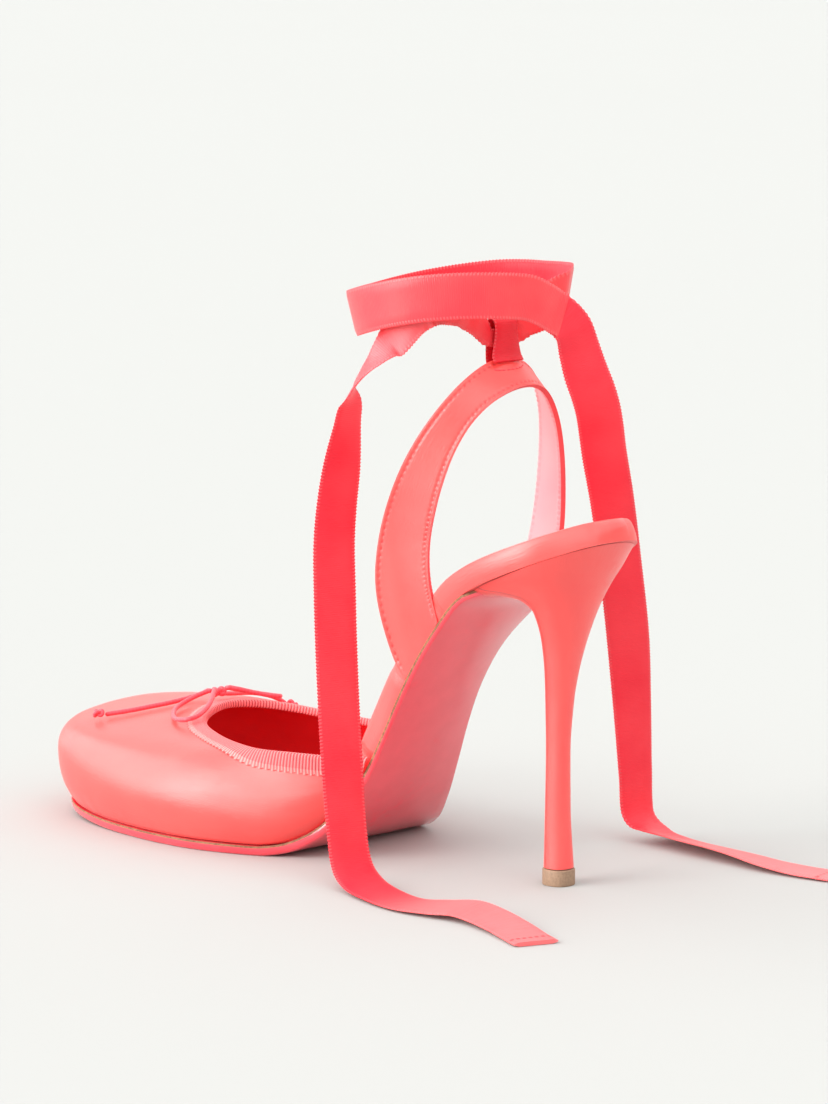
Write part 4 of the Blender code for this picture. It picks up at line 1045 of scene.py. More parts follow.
# %% Right end of the ribbon
CLEAR_OF_TURN = 0.0005
RIGHT_END = [
    (-11.1, -5.5, 159.6, -0.90, 0.18, 0.34),
    (-13.3, -5.4, 153.9, -0.91, 0.33, 0.20),
    (-15.5, -4.9, 147.5, -0.87, 0.50, 0.12),
    (-18.2, -4.6, 141.8, -0.83, 0.55, 0.10),
    (-21.4, -5.4, 136.0, -0.80, 0.58, 0.10),
    (-24.8, -7.2, 129.6, -0.75, 0.65, 0.10),
    (-28.1, -9.0, 122.3, -0.80, 0.60, 0.09),
    (-35.0, -12.0, 107.2, -0.85, 0.52, 0.08),
    (-42.6, -15.8, 88.2, -0.87, 0.49, 0.06),
    (-50.1, -19.3, 65.4, -0.86, 0.50, 0.05),
    (-56.0, -22.6, 42.3, -0.96, 0.27, 0.03),
    (-60.6, -25.3, 21.5, -0.99, 0.10, -0.02),
    (-62.9, -26.1, 8.5, -0.99, 0.08, -0.08),
    (-64.8, -20.8, 3.4, -0.98, 0.08, -0.16),
    (-64.2, -12.0, 2.4, -0.97, 0.06, -0.22),
    (-62.6, -2.0, 2.3, -0.97, -0.02, -0.22),
    (-61.8, 8.5, 2.2, -0.98, 0.00, -0.20),
    (-61.2, 19.0, 1.8, -0.99, -0.02, -0.14),
    (-60.0, 30.0, 1.3, -1.00, 0.06, -0.08),
    (-60.6, 41.0, 0.8, -1.00, 0.08, -0.02),
    (-62.6, 53.0, 0.7, -0.98, 0.18, 0.00),
]
right_end, middle, reach = sweep_ribbon(
    "ribbon_end_right_cloth",
    raised(turn_rows[TURN_LAST - 1:], CLEAR_OF_TURN)[:-1] + route(RIGHT_END), hems=(False, True))
dress(right_end, "ribbon", [right_fall, end_back], "ribbon_end_right")
tuple(middle[0])
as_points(thinned(middle))
print("right end, mm:", round(reach / MM, 1))

# %% [markdown]
# ## The bow
# A round satin cord is tied in a small bow at the throat. Each loop and each tail is a tube
# along the CAD route, given as places on the vamp's wall so that it lies on the cloth. The
# knots are real turns of cord: a tight trefoil curve reads as a knot from every side, where a
# ball would not.

# %% Bow routes
CORD_DIAMETER, KNOT_WIDTH, TAIL_KNOT_WIDTH = 0.0015, 0.0046, 0.0037
TUCK = 0.3  # how far towards the knot's middle each cord goes on
BOW_LOOP_LEFT = [
    (22.85, 0.953, 3.7),
    (22.30, 0.940, 2.9),
    (21.60, 0.926, 1.9),
    (20.85, 0.922, 1.5),
    (20.00, 0.924, 1.4),
    (19.20, 0.926, 1.6),
    (18.70, 0.936, 2.1),
    (18.60, 0.956, 2.6),
    (19.00, 0.980, 2.7),
    (19.60, 0.998, 3.0),
    (20.40, 1.010, 3.5),
    (21.30, 1.010, 4.1),
    (22.00, 1.000, 4.7),
    (22.42, 0.990, 4.9),
]
BOW_LOOP_RIGHT = [
    (23.72, 0.972, 4.2),
    (24.20, 0.976, 3.7),
    (24.90, 0.972, 3.0),
    (25.60, 0.958, 2.5),
    (26.20, 0.946, 2.3),
    (26.60, 0.950, 2.3),
    (26.75, 0.968, 2.5),
    (26.40, 0.988, 2.5),
    (25.60, 0.998, 2.6),
    (24.70, 1.002, 3.2),
    (24.00, 1.000, 4.0),
    (23.52, 0.990, 4.6),
]
BOW_TAIL_LEFT = [
    (23.25, 0.930, 3.1),
    (23.02, 0.913, 1.9),
    (22.60, 0.903, 1.4),
    (22.10, 0.895, 1.3),
    (21.55, 0.880, 1.3),
    (21.00, 0.855, 1.3),
    (20.50, 0.825, 1.3),
    (20.10, 0.785, 1.3),
    (19.75, 0.735, 1.4),
]
BOW_TAIL_RIGHT = [
    (23.62, 0.932, 3.0),
    (24.30, 0.915, 1.7),
    (25.20, 0.890, 1.3),
    (26.20, 0.840, 1.3),
    (27.10, 0.760, 1.3),
    (27.80, 0.660, 1.3),
    (28.30, 0.560, 1.4),
]


def on_wall(points):
    """Places in metres of points given as station, share up the wall and millimetres off it."""
    at = curve_through(numbered(points))
    fine = 6 * (len(points) - 1)
    return [off_upper(q, v, lift * MM) for q, v, lift in (at(k / 6) for k in range(fine + 1))]


def tie(name, place, facing, run, width, cord):
    """A small knot: a trefoil of cord pressed flat, its axis along facing."""
    side = facing.cross(run).normalized()
    run = side.cross(facing).normalized()
    size = (width - cord) / 2 / 2.62
    turns = 36
    points = []
    for k in range(turns + 1):
        a = 2 * math.pi * k / turns
        x, y = math.sin(a) + 2 * math.sin(2 * a), math.cos(a) - 2 * math.cos(2 * a)
        z = -math.sin(3 * a) * cord * 0.52
        points.append(place + (run * x + side * y) * size + facing * z)
    return tube(name, points, cord / 2, cord / 8, 12, 2600.0, 0.02, False)[0]


# %% [markdown]
# The bow is one small cord tied at the throat: two loops and two tails, each with its ends
# run on into the knot so that no gap opens there.

# %% Bow
bow = {
    "bow_loop_left": (BOW_LOOP_LEFT, 0.058, "object"),
    "bow_loop_right": (BOW_LOOP_RIGHT, 0.039, "object"),
    "bow_tail_left": (BOW_TAIL_LEFT, 0.035, "knot"),
    "bow_tail_right": (BOW_TAIL_RIGHT, 0.035, "knot"),
}
knot_outward = upper_outward(TOE + 0.1, 0.973)
knot_place = off_upper(TOE + 0.1, 0.973, 2 * GAP + 0.0008 + 0.15 * MM + KNOT_WIDTH * 0.4)
bow_knot = tie("bow_knot_cord", knot_place, knot_outward, Vector((1.0, 0.0, 0.0)), KNOT_WIDTH, 0.0015)
dress(bow_knot, "cord", [bow_cord], "bow_knot")
for name, (points, length, far_end) in bow.items():
    places = on_wall(points)
    tucked = [places[0].lerp(knot_place, TUCK), *places]
    if far_end == "object":
        tucked.append(places[-1].lerp(knot_place, TUCK))
    made, middle, reach = tube(name + "_cord", tucked, CORD_DIAMETER / 2, 0.00028, 16, 2200.0, 0.02)
    dress(made, "cord", [bow_cord], name)
    if far_end == "knot":
        q, v, lift = points[-1]
        run = (places[-1] - off_upper(*points[-2][:2], points[-2][2] * MM)).normalized()
        at_end = places[-1] + run * (TAIL_KNOT_WIDTH / 2 + GAP) + upper_outward(q, v) * 0.0008
        node_name = name.replace("tail", "tail_knot")
        end_knot = tie(node_name + "_cord", at_end, upper_outward(q, v), run, TAIL_KNOT_WIDTH, 0.0012)
        dress(end_knot, "cord", [bow_cord], node_name)
    tuple(middle[0])
    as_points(thinned(middle, 4))
    print(name, "mm:", round(reach / MM, 1))

# %% [markdown]
# ## The ankle turn
# The middle of the same ribbon comes from the left end, is gathered through the loop on the
# strap, goes once round the ankle and leaves as the right end. It is swept like the ends, from
# the CAD rows: narrower and thicker where it is gathered.

# %% Ankle turn
ankle_turn, _, reach = sweep_ribbon(
    "ankle_ribbon_cloth", turn_rows[TURN_FIRST:TURN_LAST + 1], laps=(0.0012, 0.0004))
dress(ankle_turn, "ribbon", [ribbon_back, ribbon_face], "ankle_ribbon")
print("ankle turn, mm:", round(reach / MM, 1))

# %% [markdown]
# ## The vamp
# Satin is pulled over the last in one piece. The wall is a fine grid on the CAD surface, then
# Solidify gives it the thickness, with the lining as a second material on its inner side. The
# satin isn't quite even: it draws in small pleats where it is lasted under the toe, and it has
# a few soft troughs where the throat pulls. These are moved into the mesh, because a bump
# alone would vanish at the outline.

# %% Vamp
VAMP_COLUMNS, VAMP_ROWS = 300, 46
CLOTH_WALL = 0.0009


def vamp_relief(q, v):
    """Soft troughs and lasting pleats of the satin, in metres off its even surface."""
    depth = 0.0
    for station, share, long, tall, size in (
        (20.5, 0.72, 1.6, 0.10, -0.22), (25.6, 0.70, 1.7, 0.10, -0.20), (15.5, 0.62, 2.6, 0.16, -0.16),
        (18.4, 0.42, 1.1, 0.26, 0.14), (30.5, 0.60, 2.4, 0.18, -0.16), (22.4, 0.86, 1.3, 0.05, -0.16),
    ):
        depth += size * math.exp(-((q - station) / long) ** 2 - ((v - share) / tall) ** 2)
    near_toe = smooth_step((8.0 - abs(q - TOE)) / 4.0)
    pleats = math.sin(q * 7.3) + 0.6 * math.sin(q * 11.9 + 0.8)
    depth += 0.09 * near_toe * pleats * math.exp(-((v - 0.04) / 0.07) ** 2)
    fade = smooth_step((q - VAMP_FIRST) / 1.5) * smooth_step((VAMP_LAST - q) / 1.5)
    return depth * MM * fade * smooth_step(v / 0.03) * smooth_step((1 - v) / 0.12)


vamp_stations = [VAMP_LAST + (VAMP_FIRST - VAMP_LAST) * k / VAMP_COLUMNS for k in range(VAMP_COLUMNS + 1)]
vamp_run = [0.0]
for before, after in zip(vamp_stations, vamp_stations[1:]):
    vamp_run.append(vamp_run[-1] + (upper(after, 0.4) - upper(before, 0.4)).length)


def vamp_place(i, j):
    q, v = vamp_stations[i], j / VAMP_ROWS
    return upper(q, v) + upper_outward(q, v) * vamp_relief(q, v)


vamp = skin("vamp_satin_cloth", VAMP_COLUMNS, VAMP_ROWS, vamp_place,
            lambda i, j: (vamp_run[i], 0.045 * j / VAMP_ROWS))
wall = vamp.modifiers.new("Wall", "SOLIDIFY")
wall.thickness, wall.offset, wall.use_even_offset = CLOTH_WALL, -1, True
wall.material_offset = 1
dress(vamp, "satin", [vamp_satin, vamp_lining], "vamp")
print("foot of the vamp, mm:", round(vamp_run[-1] / MM, 1))

# %% [markdown]
# ## The topline binding
# A ribbed ribbon is folded over the vamp's edge: an outer lip, a rounded top and an inner lip.
# Its ribs stand out and its lower edge ends in small loops, so both are in the mesh, with a
# few columns to each rib. It is one closed band, laid round the wall as the CAD channel is.

# %% Binding
BINDING, BINDING_WIDTH, BINDING_INNER = 0.0005, 0.0049, 0.0010
BINDING_GAP = 0.0001
RIB_DEPTH, PICOT_DEPTH, PICOT_BAND = 0.00020, 0.0006, 0.0011
LIP_ROWS = 7


@functools.lru_cache(maxsize=None)
def down_the_rib(q, depth):
    """Station and share of the wall at this depth below the topline, square to it at q."""
    top, near = upper(q, 1.0), 0.02
    run = (upper(q + near, 1.0) - upper(q - near, 1.0)).normalized()
    share = smooth_step((q - VAMP_FIRST) / 1.5) * smooth_step((VAMP_LAST - q) / 1.5)
    at, v = q, wall_share(q, depth)
    slant = (1 - share) * (upper(at, v) - top).dot(run)
    for _ in range(4):
        place = upper(at, v)
        off = place - top
        along = off.dot(run)
        across = (off - run * along).length
        step = (upper(at + near, v) - place) / near
        climb = (upper(at, v + near) - place) / near
        at -= (along - slant) / step.dot(run)
        v += (across - depth) / max((climb - run * climb.dot(run)).length, 1e-6)
        at, v = min(max(at, VAMP_FIRST), VAMP_LAST), min(v, 1.0)
    return at, v


def topline_stops():
    """Stations evenly spaced along the band's middle, a few to each rib."""
    def at(t):
        q = VAMP_FIRST + (VAMP_LAST - VAMP_FIRST) * t / 100
        return upper(*down_the_rib(q, BINDING_WIDTH * 0.45))
    return [(VAMP_FIRST + (VAMP_LAST - VAMP_FIRST) * t / 100, s) for t, s in walk(at, 100, RIB_PITCH / 5, 6)]


def binding_ring(q, s):
    """The channel's outline at station q, from the outer lip's lower edge round and back."""
    near, far, behind = BINDING_GAP, BINDING_GAP + BINDING, -CLOTH_WALL - BINDING_GAP
    rib = RIB_DEPTH * (0.5 + 0.5 * math.cos(2 * math.pi * s / RIB_PITCH))
    picot = PICOT_DEPTH * abs(math.cos(math.pi * s / PICOT_PITCH))
    low, band = BINDING_WIDTH + picot, BINDING_WIDTH - PICOT_BAND

    def lip(depth, lift):
        at, v = down_the_rib(q, depth)
        return upper(at, v) + upper_outward(at, v) * lift

    top, outward = upper(q, 1.0), upper_outward(q, 1.0)
    up = (top - upper(q, 0.96)).normalized()
    outer = []
    for k in range(LIP_ROWS):
        if k < 2:
            outer.append(lip(low + (band - low) * k / 2, far - 0.0003 + 0.0001 * k + rib * 0.5))
        else:
            outer.append(lip(band * (1 - (k - 2) / (LIP_ROWS - 2)), far + rib))
    crown = [
        top + outward * (far + rib) + up * near,
        top + outward * (far * 0.72) + up * (far * 0.8 + rib * 0.7),
        top + outward * near + up * (far + rib),
        top + outward * (near + behind) / 2 + up * (far + rib),
        top + outward * behind + up * (far + rib),
        top + outward * (behind - BINDING * 0.7) + up * (far * 0.75 + rib * 0.7),
        top + outward * (behind - BINDING - rib) + up * near,
    ]
    inside = [
        lip(BINDING_INNER, behind - BINDING),
        lip(BINDING_INNER, behind),
        top + outward * behind + up * near,
        top + outward * near + up * near,
        lip(band, near),
        lip(low, near),
    ]
    return outer + crown + inside


stops = topline_stops()
rings = [binding_ring(q, s) for q, s in stops]
ring_size = len(rings[0])
binding = skin("topline_binding_ribbon", len(rings) - 1, ring_size, lambda i, j: rings[i][j % ring_size],
               lambda i, j: (stops[i][1], 0.0009 * j), fill=True, sharp=70.0,
               side_of=lambda i, j: 1 if j < 2 or j == ring_size - 1 else 0)
dress(binding, "binding", [binding_ribs, binding_picot], "topline_binding")
print("topline, mm:", round(stops[-1][1] / MM, 1), "ribs:", round(stops[-1][1] / RIB_PITCH))

# %% [markdown]
# ## The two plates of the sole
# The outsole and the insole are plates that follow the same rise to the seat. Each is skinned
# over cross sections: down one side, under, and up the other. The outsole ends at the heel's
# breast, and its top edge is left as raw leather. The insole is wrapped in satin round its rim
# and has a pink sock on top, and stands in where the upper covers its side.

# %% Plate sections
THICKNESS = [
    (0.00, 1.0, 0.46),
    (0.48, 1.0, 0.46),
    (0.58, 0.6, 0.72),
    (0.66, 0.0, 1.00),
    (0.80, 0.0, 1.00),
    (1.00, 0.0, 1.00),
]
COVERED = [(5.8, 9.0, 0.3), (5.8, 7.48, 0.5), (8.5, 37.3, 1.0), (37.0, 40.15, 0.3), (38.15, 40.15, 0.5)]
thickness_curve = curve_through(THICKNESS, steady=True)
outsole_side = curve_through([
    (0.0, 0.9, 0.0), (0.25, 0.45, 0.1), (0.5, 0.1, 0.45), (0.8, 0.0, 0.78), (1.0, 0.0, 1.0)])
insole_side = curve_through([
    (0.0, 0.25, 0.0), (0.35, 0.0, 0.35), (0.7, 0.1, 0.8), (0.88, 0.45, 0.97), (1.0, 1.0, 1.0)])


def cover(q):
    """How far the insole's side draws in at station q: behind the upper, the strap, or not."""
    return max(share * smooth_step((q - a) / 0.15) * smooth_step((b - q) / 0.15) for a, b, share in COVERED)


@functools.lru_cache(maxsize=None)
def thickness_at(q):
    return thickness_curve((edge(q).y - ALONG_SHIFT) / LENGTH + 0.5)


def outsole_thickness(q):
    return WAIST_OUTSOLE + (OUTSOLE - WAIST_OUTSOLE) * thickness_at(q)[0]


def plate_section(left, right, side, steps, set_in, inset, thickness, low, dish, across, crown):
    """A closed section of a plate between a station on the left and one on the right."""
    def flank(q):
        rows = [side(k / steps) for k in range(steps + 1)]
        return [on_sole(edge(q, inset(q) + share * set_in), low(q) + lift * thickness(q))
                for share, lift in rows]

    def span(k_side, face):
        ends = [edge(q, inset(q) + side(k_side)[0] * set_in) for q in (left, right)]
        lifts = [low(q) + face * thickness(q) for q in (left, right)]
        found = []
        for k in range(1, across):
            s = k / across
            hollow = dish if face else crown(left)
            lift = lifts[0] + (lifts[1] - lifts[0]) * s - hollow * 4 * s * (1 - s)
            found.append(on_sole(ends[0].lerp(ends[1], s), lift))
        return found

    return flank(left) + span(1.0, 1) + flank(right)[::-1] + span(0.0, 0)[::-1]


def plate(name, pairs, chart_scale, finish_at, **shape):
    rings = [plate_section(left, right, **shape) for left, right in pairs]
    size = len(rings[0])
    run = [0.0]
    for (a, _), (b, _) in zip(pairs, pairs[1:]):
        run.append(run[-1] + (edge(b) - edge(a)).length)
    return skin(name, len(rings) - 1, size, lambda i, j: rings[i][j % size],
                lambda i, j: (run[i], chart_scale * j), fill=True, sharp=45.0,
                side_of=finish_at)


# %% [markdown]
# The outsole is a thin plate of leather, lacquered underneath, with a raw edge that shows as a fine
# tan line. It runs on, narrowed, under the heel's lip, so that no end face is seen there.

# %% Outsole
OUTSOLE_SHOWN, OUTSOLE_END = 0.8235, 0.842  # it narrows between them, under the heel's front lip
OUTSOLE_STEPS, OUTSOLE_ACROSS = 5, 14
WAIST_CROWN = 0.0018  # how far the lacquered waist swells below its edges


def station_at(y, low, high):
    """The station between low and high whose edge is at y."""
    rising = edge(high).y > edge(low).y
    for _ in range(30):
        middle = (low + high) / 2
        if (edge(middle).y < y) == rising:
            low = middle
        else:
            high = middle
    return low


def opposite(q):
    """The right edge's station of a section: straight across at the breast."""
    straight = station_at(edge(q).y, ROUND - 12, ROUND - 2)
    return ROUND - q + (straight - ROUND + q) * smooth_step((10 - q) / 3)


breast, shown = (station_at(along_to_y(along), 2, 12) for along in (OUTSOLE_END, OUTSOLE_SHOWN))
OUTSOLE_STATIONS = 120
outsole_spots = [breast + (TOE - breast) * (1 - (1 - k / OUTSOLE_STATIONS) ** 1.25)
                 for k in range(OUTSOLE_STATIONS + 1)]
outsole_pairs = [(q, opposite(q)) for q in outsole_spots]
raw_first = OUTSOLE_STEPS - 1


def outsole_finish(i, j):
    """Raw leather on the last step of each flank, and on more of it at the thin waist."""
    top_right = OUTSOLE_STEPS + OUTSOLE_ACROSS
    more = 1 if thickness_at(outsole_pairs[i][0])[0] < 0.3 else 0
    return 1 if raw_first - more <= j <= raw_first or top_right <= j <= top_right + more else 0


def under_the_lip(q):
    return 0.006 * smooth_step((shown - min(q, ROUND - q)) / (shown - breast))


outsole = plate(
    "outsole_lacquered", outsole_pairs, 0.0006, outsole_finish,
    side=outsole_side, steps=OUTSOLE_STEPS, set_in=0.0012, inset=under_the_lip,
    thickness=outsole_thickness, low=lambda q: -outsole_thickness(q), dish=0.0, across=OUTSOLE_ACROSS,
    crown=lambda q: WAIST_CROWN * (1 - thickness_at(q)[0]))
dress(outsole, "sole_lacquer", [sole_lacquer, raw_edge], "outsole")

# %% [markdown]
# The insole is a board wrapped in satin, hollowed for the foot. Its side stands in where the vamp and
# the strap lap over it, and shows as a rounded rim round the seat.

# %% Insole
INSOLE_STEPS, INSOLE_ACROSS = 8, 14
full_cover = EDGE_MARGIN + CLOTH_WALL + GAP
insole_stations = sorted({TOE * (1 - math.cos(math.pi * k / 170)) / 2 for k in range(171)} | {
    q if q <= TOE else ROUND - q
    for first, last, _ in COVERED
    for q in (first, first + 0.07, first + 0.15, last - 0.15, last - 0.07, last)})


def insole_finish(i, j):
    """The pink sock between the rolled edges on top, satin elsewhere."""
    return 1 if INSOLE_STEPS <= j < INSOLE_STEPS + INSOLE_ACROSS else 0


insole = plate(
    "insole_wrapped", [(q, ROUND - q) for q in insole_stations], 0.0008, insole_finish,
    side=insole_side, steps=INSOLE_STEPS, set_in=0.0013, inset=lambda q: full_cover * cover(q),
    thickness=lambda q: RIM * thickness_at(q)[1] + GAP, low=lambda q: 0.5 * GAP, dish=DISH,
    across=INSOLE_ACROSS,
    crown=lambda q: 0.0)
dress(insole, "satin", [rim_satin, lining_pink], "insole")

# %% [markdown]
# ## The heel and its top piece
# A slim heel is satin pulled round a core, with one seam down its inner front edge. It is a
# stack of sections that are round at the back and squarer at the front, skinned from the seat
# to the tip. The seam is a fine sunk line in its finish. The rubber top piece is a separate
# block with its edges bevelled.

# %% Heel
HEEL_WIDTH, HEEL_SET_IN, STEM_WIDTH, TOP_PIECE_WIDTH, TOP_PIECE_HEIGHT = 0.0432, 0.0012, 0.0067, 0.009, 0.0048
HEEL = [
    (0.000, -0.930, 0.890, 1.000, 5.0),
    (0.020, -0.810, 0.815, 0.945, 4.6),
    (0.050, -0.525, 0.730, 0.814, 4.2),
    (0.090, -0.255, 0.640, 0.595, 3.8),
    (0.140, -0.150, 0.550, 0.414, 3.4),
    (0.200, -0.150, 0.458, 0.277, 3.0),
    (0.270, -0.160, 0.360, 0.167, 2.8),
    (0.350, -0.165, 0.262, 0.097, 2.6),
    (0.450, -0.180, 0.192, 0.036, 2.6),
    (0.620, -0.183, 0.140, 0.000, 2.6),
    (0.800, -0.185, 0.140, 0.015, 2.6),
    (1.000, -0.195, 0.195, 0.045, 2.6),
]
heel_curve = curve_through(HEEL, steady=True)
HALF_POINTS = 30


def heel_section(front, back, half, squareness, side, count=HALF_POINTS):
    """A closed outline in plan: round at the back, squarer at the front."""
    widest = max(back - half, (front + back) / 2)
    ring = []
    for turned, reach, power in ((1, back, 2 / 2.2), (-1, front, 2 / squareness)):
        for k in range(count):
            c, s = turned * math.cos(math.pi * k / count), math.sin(math.pi * k / count)
            x = math.copysign(abs(c) ** power, c) * half
            ring.append(Vector((HEEL_TIP.x + side + x, HEEL_TIP.y + widest + (reach - widest) * s**power)))
    return ring


def heel_row(fall):
    front, back, width, squareness = heel_curve(fall)
    half = (STEM_WIDTH + (HEEL_WIDTH - STEM_WIDTH) * width) / 2
    top_half = (HEEL_WIDTH - HEEL_SET_IN) / 2
    back_scale = (TIP_FROM_BACK - HEEL_SET_IN) / (HEEL[0][2] * top_half)
    back *= 1 + (back_scale - 1) * smooth_step(1 - fall / 0.2)
    side = 0.006 * BALL_WIDTH * smooth_step(1 - fall / 0.3)
    return heel_section(front * top_half, back * top_half, half, squareness, side)


HEEL_ROWS = 96
SEAM_AT = 2 * HALF_POINTS - 3
heel_rings = []
for k in range(HEEL_ROWS + 1):
    fall = (k / HEEL_ROWS) ** 1.45
    foot, ring = TOP_PIECE_HEIGHT + GAP, []
    for place in heel_row(fall):
        top = on_sole(place, 0.0).z
        ring.append(Vector((place.x, place.y, top + (foot - top) * fall)))
    heel_rings.append(ring)
heel_size = 2 * HALF_POINTS
heel = skin("heel_wrapped", HEEL_ROWS, heel_size, lambda i, j: heel_rings[i][j % heel_size],
            lambda i, j: (0.1 * (i / HEEL_ROWS) ** 1.45, 0.0022 * (j - SEAM_AT)), fill=True, sharp=50.0)
dress(heel, "satin", [heel_satin], "heel")

# %% [markdown]
# The top piece is the rubber tip that the heel walks on. It is a short block with a worn, matt finish,
# a piece of its own because a cobbler replaces it.

# %% Top piece
bm = bmesh.new()
half = TOP_PIECE_WIDTH / 2
outline = heel_section(-half, half, half, HEEL[-1][4], 0.0, 24)
ring = [bm.verts.new((p.x, p.y, 0.0)) for p in outline]
base = bm.faces.new(ring)
body = bmesh.ops.extrude_face_region(bm, geom=[base])
lifted = [v for v in body["geom"] if isinstance(v, bmesh.types.BMVert)]
bmesh.ops.translate(bm, verts=lifted, vec=(0.0, 0.0, TOP_PIECE_HEIGHT))
rims = [e for e in bm.edges if abs(e.verts[0].co.z - e.verts[1].co.z) < 1e-6]
bmesh.ops.bevel(bm, geom=rims, offset=0.0003, segments=3, affect="EDGES", profile=0.5, material=-1)
bmesh.ops.recalc_face_normals(bm, faces=bm.faces)
top_piece = make_object("top_piece_rubber", bm, 50.0)
dress(top_piece, "top_piece", [heel_rubber], "top_piece")

# %% [markdown]
# ## The back strap
# The strap is two layers, satin outside and pink lining inside, stitched along both edges. The
# stitches pull a row of small dimples, which the mesh carries: the grid is fine enough for
# five columns to each stitch. Solidify adds the lining's side, and Bevel rolls the edges.

# %% Strap
STRAP_WALL, STITCH_IN, STITCH_PITCH = 0.0014, 0.0014, 0.0018
STRAP_COLUMNS, STRAP_ROWS = 600, 32
strap_run = [0.0]
for k in range(STRAP_COLUMNS):
    strap_step = strap((k + 1) / STRAP_COLUMNS, 0.5) - strap(k / STRAP_COLUMNS, 0.5)
    strap_run.append(strap_run[-1] + strap_step.length)


def strap_out(t, s):
    t, s, near = min(max(t, 0.004), 0.996), min(max(s, 0.02), 0.98), 0.004
    across = strap(t, s + 0.02) - strap(t, s - 0.02)
    return (strap(t + near, s) - strap(t - near, s)).cross(across).normalized()


stitch_marks = {}


def strap_place(i, j):
    t = i / STRAP_COLUMNS
    s = 0.5 - 0.5 * math.cos(math.pi * (0.12 + 0.76 * j / STRAP_ROWS))
    low, high = 0.5 - 0.5 * math.cos(math.pi * 0.12), 0.5 - 0.5 * math.cos(math.pi * 0.88)
    s = (s - low) / (high - low)
    rear, front = strap_edges(t)
    width = (front - rear).length
    from_edge = min(s, 1 - s) * width
    row = math.exp(-((from_edge - STITCH_IN) / 0.0004) ** 2)
    pull = 0.5 + 0.5 * math.cos(2 * math.pi * strap_run[i] / STITCH_PITCH)
    swell = 0.00014 * math.exp(-((from_edge - 0.0006) / 0.0005) ** 2)
    ends = smooth_step(min(t, 1 - t) / 0.03)
    depth = (swell - row * (0.00012 + 0.00022 * pull)) * ends
    found = strap(t, s) + strap_out(t, s) * depth
    stitch_marks[tuple(round(x * 1e7) for x in Vector(found))] = row * pull**2 * ends
    return found


def strap_chart(i, j):
    rear, front = strap_edges(i / STRAP_COLUMNS)
    return strap_run[i], (j / STRAP_ROWS - 0.5) * (front - rear).length


back_strap = skin("back_strap_satin", STRAP_COLUMNS, STRAP_ROWS, strap_place, strap_chart)
sunk = back_strap.data.attributes.new("stitch", "FLOAT", "POINT")
for k, vertex in enumerate(back_strap.data.vertices):
    sunk.data[k].value = stitch_marks.get(tuple(round(x * 1e7) for x in vertex.co), 0.0)
wall = back_strap.modifiers.new("Wall", "SOLIDIFY")
wall.thickness, wall.offset, wall.use_even_offset = STRAP_WALL, -1, True
wall.material_offset, wall.material_offset_rim = 1, 2
rolled = back_strap.modifiers.new("Rolled", "BEVEL")
rolled.width, rolled.segments, rolled.limit_method = 0.0004, 2, "ANGLE"
rolled.angle_limit, rolled.harden_normals = math.radians(55), True
dress(back_strap, "satin", [strap_satin, lining_pink, edge_fold], "back_strap")
print("strap, mm:", round(strap_run[-1] / MM, 1))

# %% [markdown]
# ## The ribbon loop and its stitches
# A short piece of ribbon is folded over the strap's top and sewn down in an arc. The loop is a
# swept band on the CAD rows. The arc is real thread: one small capsule for each stitch.

# %% Ribbon loop
LOOP_WIDTH, LOOP_WALL = 0.0093, 0.0009
LOOP = [
    (0.215, -0.110),
    (0.115, 0.060),
    (0.090, 0.330),
    (0.085, 0.690),
    (0.080, 1.010),
    (0.020, 1.160),
    (-0.110, 1.220),
    (-0.240, 1.160),
    (-0.305, 1.010),
    (-0.310, 0.690),
    (-0.310, 0.330),
    (-0.310, 0.020),
    (-0.280, -0.170),
    (-0.170, -0.310),
]
loop_at = curve_through(numbered(LOOP))
loop_stops = walk(lambda t: (0.0, *loop_at(t)), len(LOOP) - 1, 0.04)
loop_places = [STRAP_TOP + Vector((0.0, *loop_at(t))) * LOOP_WIDTH for t, _ in loop_stops]
loop_section = [
    (-math.cos(math.pi * k / 8), min(1.0, 4 * (1 - abs(math.cos(math.pi * k / 8))) + 0.2))
    for k in range(9)]
loop_section += [(x, -z) for x, z in reversed(loop_section)]


def loop_place(i, j):
    run = loop_places[min(i + 1, len(loop_places) - 1)] - loop_places[max(i - 1, 0)]
    outward = Vector((0.0, run.z, -run.y)).normalized()
    x, z = loop_section[j % len(loop_section)]
    spread = 1.0 + 0.3 * smooth_step((3.5 - loop_stops[i][0]) / 3.0)
    return loop_places[i] + Vector((x * spread * LOOP_WIDTH / 2, 0.0, 0.0)) + outward * (z * LOOP_WALL / 2)


ribbon_loop = skin(
    "ribbon_loop_cloth", len(loop_places) - 1, len(loop_section), loop_place,
    lambda i, j: (2 * HEM + loop_stops[i][1] * LOOP_WIDTH, loop_section[min(j, 17)][0] * 0.0066),
    fill=True, sharp=60.0)
# The loop wears the ribbon's back, whose deep red is partly painted shade.
dress(ribbon_loop, "ribbon", [ribbon_back], "ribbon_loop")

# %% [markdown]
# A curved row of stitches holds the loop to the strap. It is modelled as a thin raised thread, since it
# stands proud of the satin and catches the light.

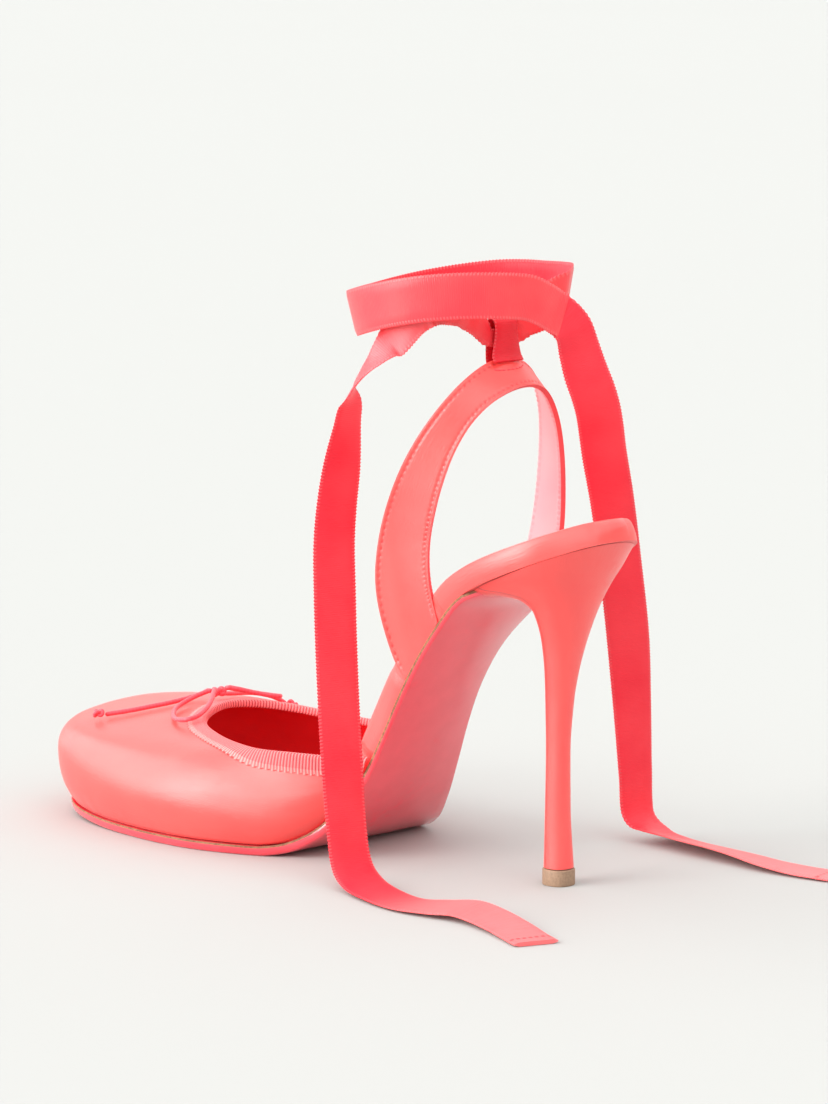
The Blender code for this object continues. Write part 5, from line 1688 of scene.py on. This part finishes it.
# %% Stitched arc below the loop
bm = bmesh.new()
ARC_STITCHES = 9
for k in range(ARC_STITCHES):
    a = math.pi * (0.08 + 0.84 * (k + 0.5) / ARC_STITCHES)
    t, down = 0.5 - 0.040 * math.cos(a), 0.0022 + 0.0026 * math.sin(a)
    rear, front = strap_edges(t)
    s = 1.0 - down / (front - rear).length
    here, outward = strap(t, s), strap_out(t, s)
    ahead_t, ahead_down = 0.5 - 0.040 * math.cos(a + 0.05), 0.0022 + 0.0026 * math.sin(a + 0.05)
    rear, front = strap_edges(ahead_t)
    run = (strap(ahead_t, 1.0 - ahead_down / (front - rear).length) - here).normalized()
    side = outward.cross(run).normalized()
    capsule = bmesh.ops.create_uvsphere(bm, u_segments=8, v_segments=6, radius=0.00022)["verts"]
    for vertex in capsule:
        x, y, z = vertex.co
        vertex.co = here + outward * (0.0001 + 0.8 * y) + side * x + run * (z * 2.9)
bmesh.ops.recalc_face_normals(bm, faces=bm.faces)
arc = make_object("loop_stitches", bm, 80.0)
dress(arc, "ribbon", [bow_cord])

# %% [markdown]
# ## Floor and light
# The shoe stands in a studio on a pale seamless floor. A plain wide disc gives the same soft
# shadow without a horizon. Its colour drifts by a hundredth, as paper's does.

# %% Floor
FLOOR_COLOUR = (0.462, 0.468, 0.455)
bm = bmesh.new()
bmesh.ops.create_circle(bm, cap_ends=True, segments=96, radius=14.0)
floor = make_object("floor", bm)
paper = bpy.data.materials.new("paper")
paper.use_nodes = True
tree = paper.node_tree
shader = tree.nodes["Principled BSDF"]
shader.inputs["Roughness"].default_value = 0.9
shader.inputs["Specular IOR Level"].default_value = 0.1
place = node(tree, "ShaderNodeTexCoord").outputs["Object"]
fibre = node(tree, "ShaderNodeTexNoise", {"Vector": place, "Scale": 0.7, "Detail": 1.0}).outputs[0]
tree.links.new(blend_colours(tree, fibre, FLOOR_COLOUR, tuple(0.99 * c for c in FLOOR_COLOUR)),
               shader.inputs["Base Color"])
floor.data.materials.append(paper)

# %% [markdown]
# Each soft box is a far and wide sun, so the light is even over the whole shoe. The tall box on the
# wearer's left is two suns, one above the other. A third lights the toe, and weak ones fill from above
# and from the camera's side.

# %% Lights
LIGHTS = [
    ("key_low", (0.95, -0.32, 0.08), 2.2, 36.0, (1.0, 0.99, 0.97)),
    ("key_high", (0.95, -0.32, 0.55), 1.5, 36.0, (1.0, 0.99, 0.97)),
    ("toe_side", (0.45, -0.88, 0.20), 2.8, 76.0, (1.0, 0.99, 0.98)),
    ("camera_side", (0.5, 1.0, 0.5), 0.8, 70.0, (1.0, 0.99, 0.98)),
    ("overhead", (-0.4, 0.1, 2.2), 3.3, 140.0, (1.0, 1.0, 1.0)),
]
WORLD_COLOUR, WORLD_STRENGTH = (0.985, 0.99, 0.97), 0.30


def soft_light(name, direction, strength, spread, colour):
    """A far, wide light, as a big soft box gives: even over the floor, with soft shadows."""
    lamp = bpy.data.lights.new(name, "SUN")
    lamp.energy, lamp.angle, lamp.color = strength, math.radians(spread), colour
    made = bpy.data.objects.new(name, lamp)
    made.rotation_mode = "QUATERNION"
    made.rotation_quaternion = Vector(direction).to_track_quat("Z", "Y")
    bpy.context.scene.collection.objects.link(made)


for light in LIGHTS:
    soft_light(*light)
world = bpy.data.worlds.new("studio")
bpy.context.scene.world = world
world.use_nodes = True
world.node_tree.nodes["Background"].inputs["Color"].default_value = (*WORLD_COLOUR, 1.0)
world.node_tree.nodes["Background"].inputs["Strength"].default_value = WORLD_STRENGTH
bpy.context.scene.view_settings.view_transform = "Standard"
print("lights:", len(LIGHTS))
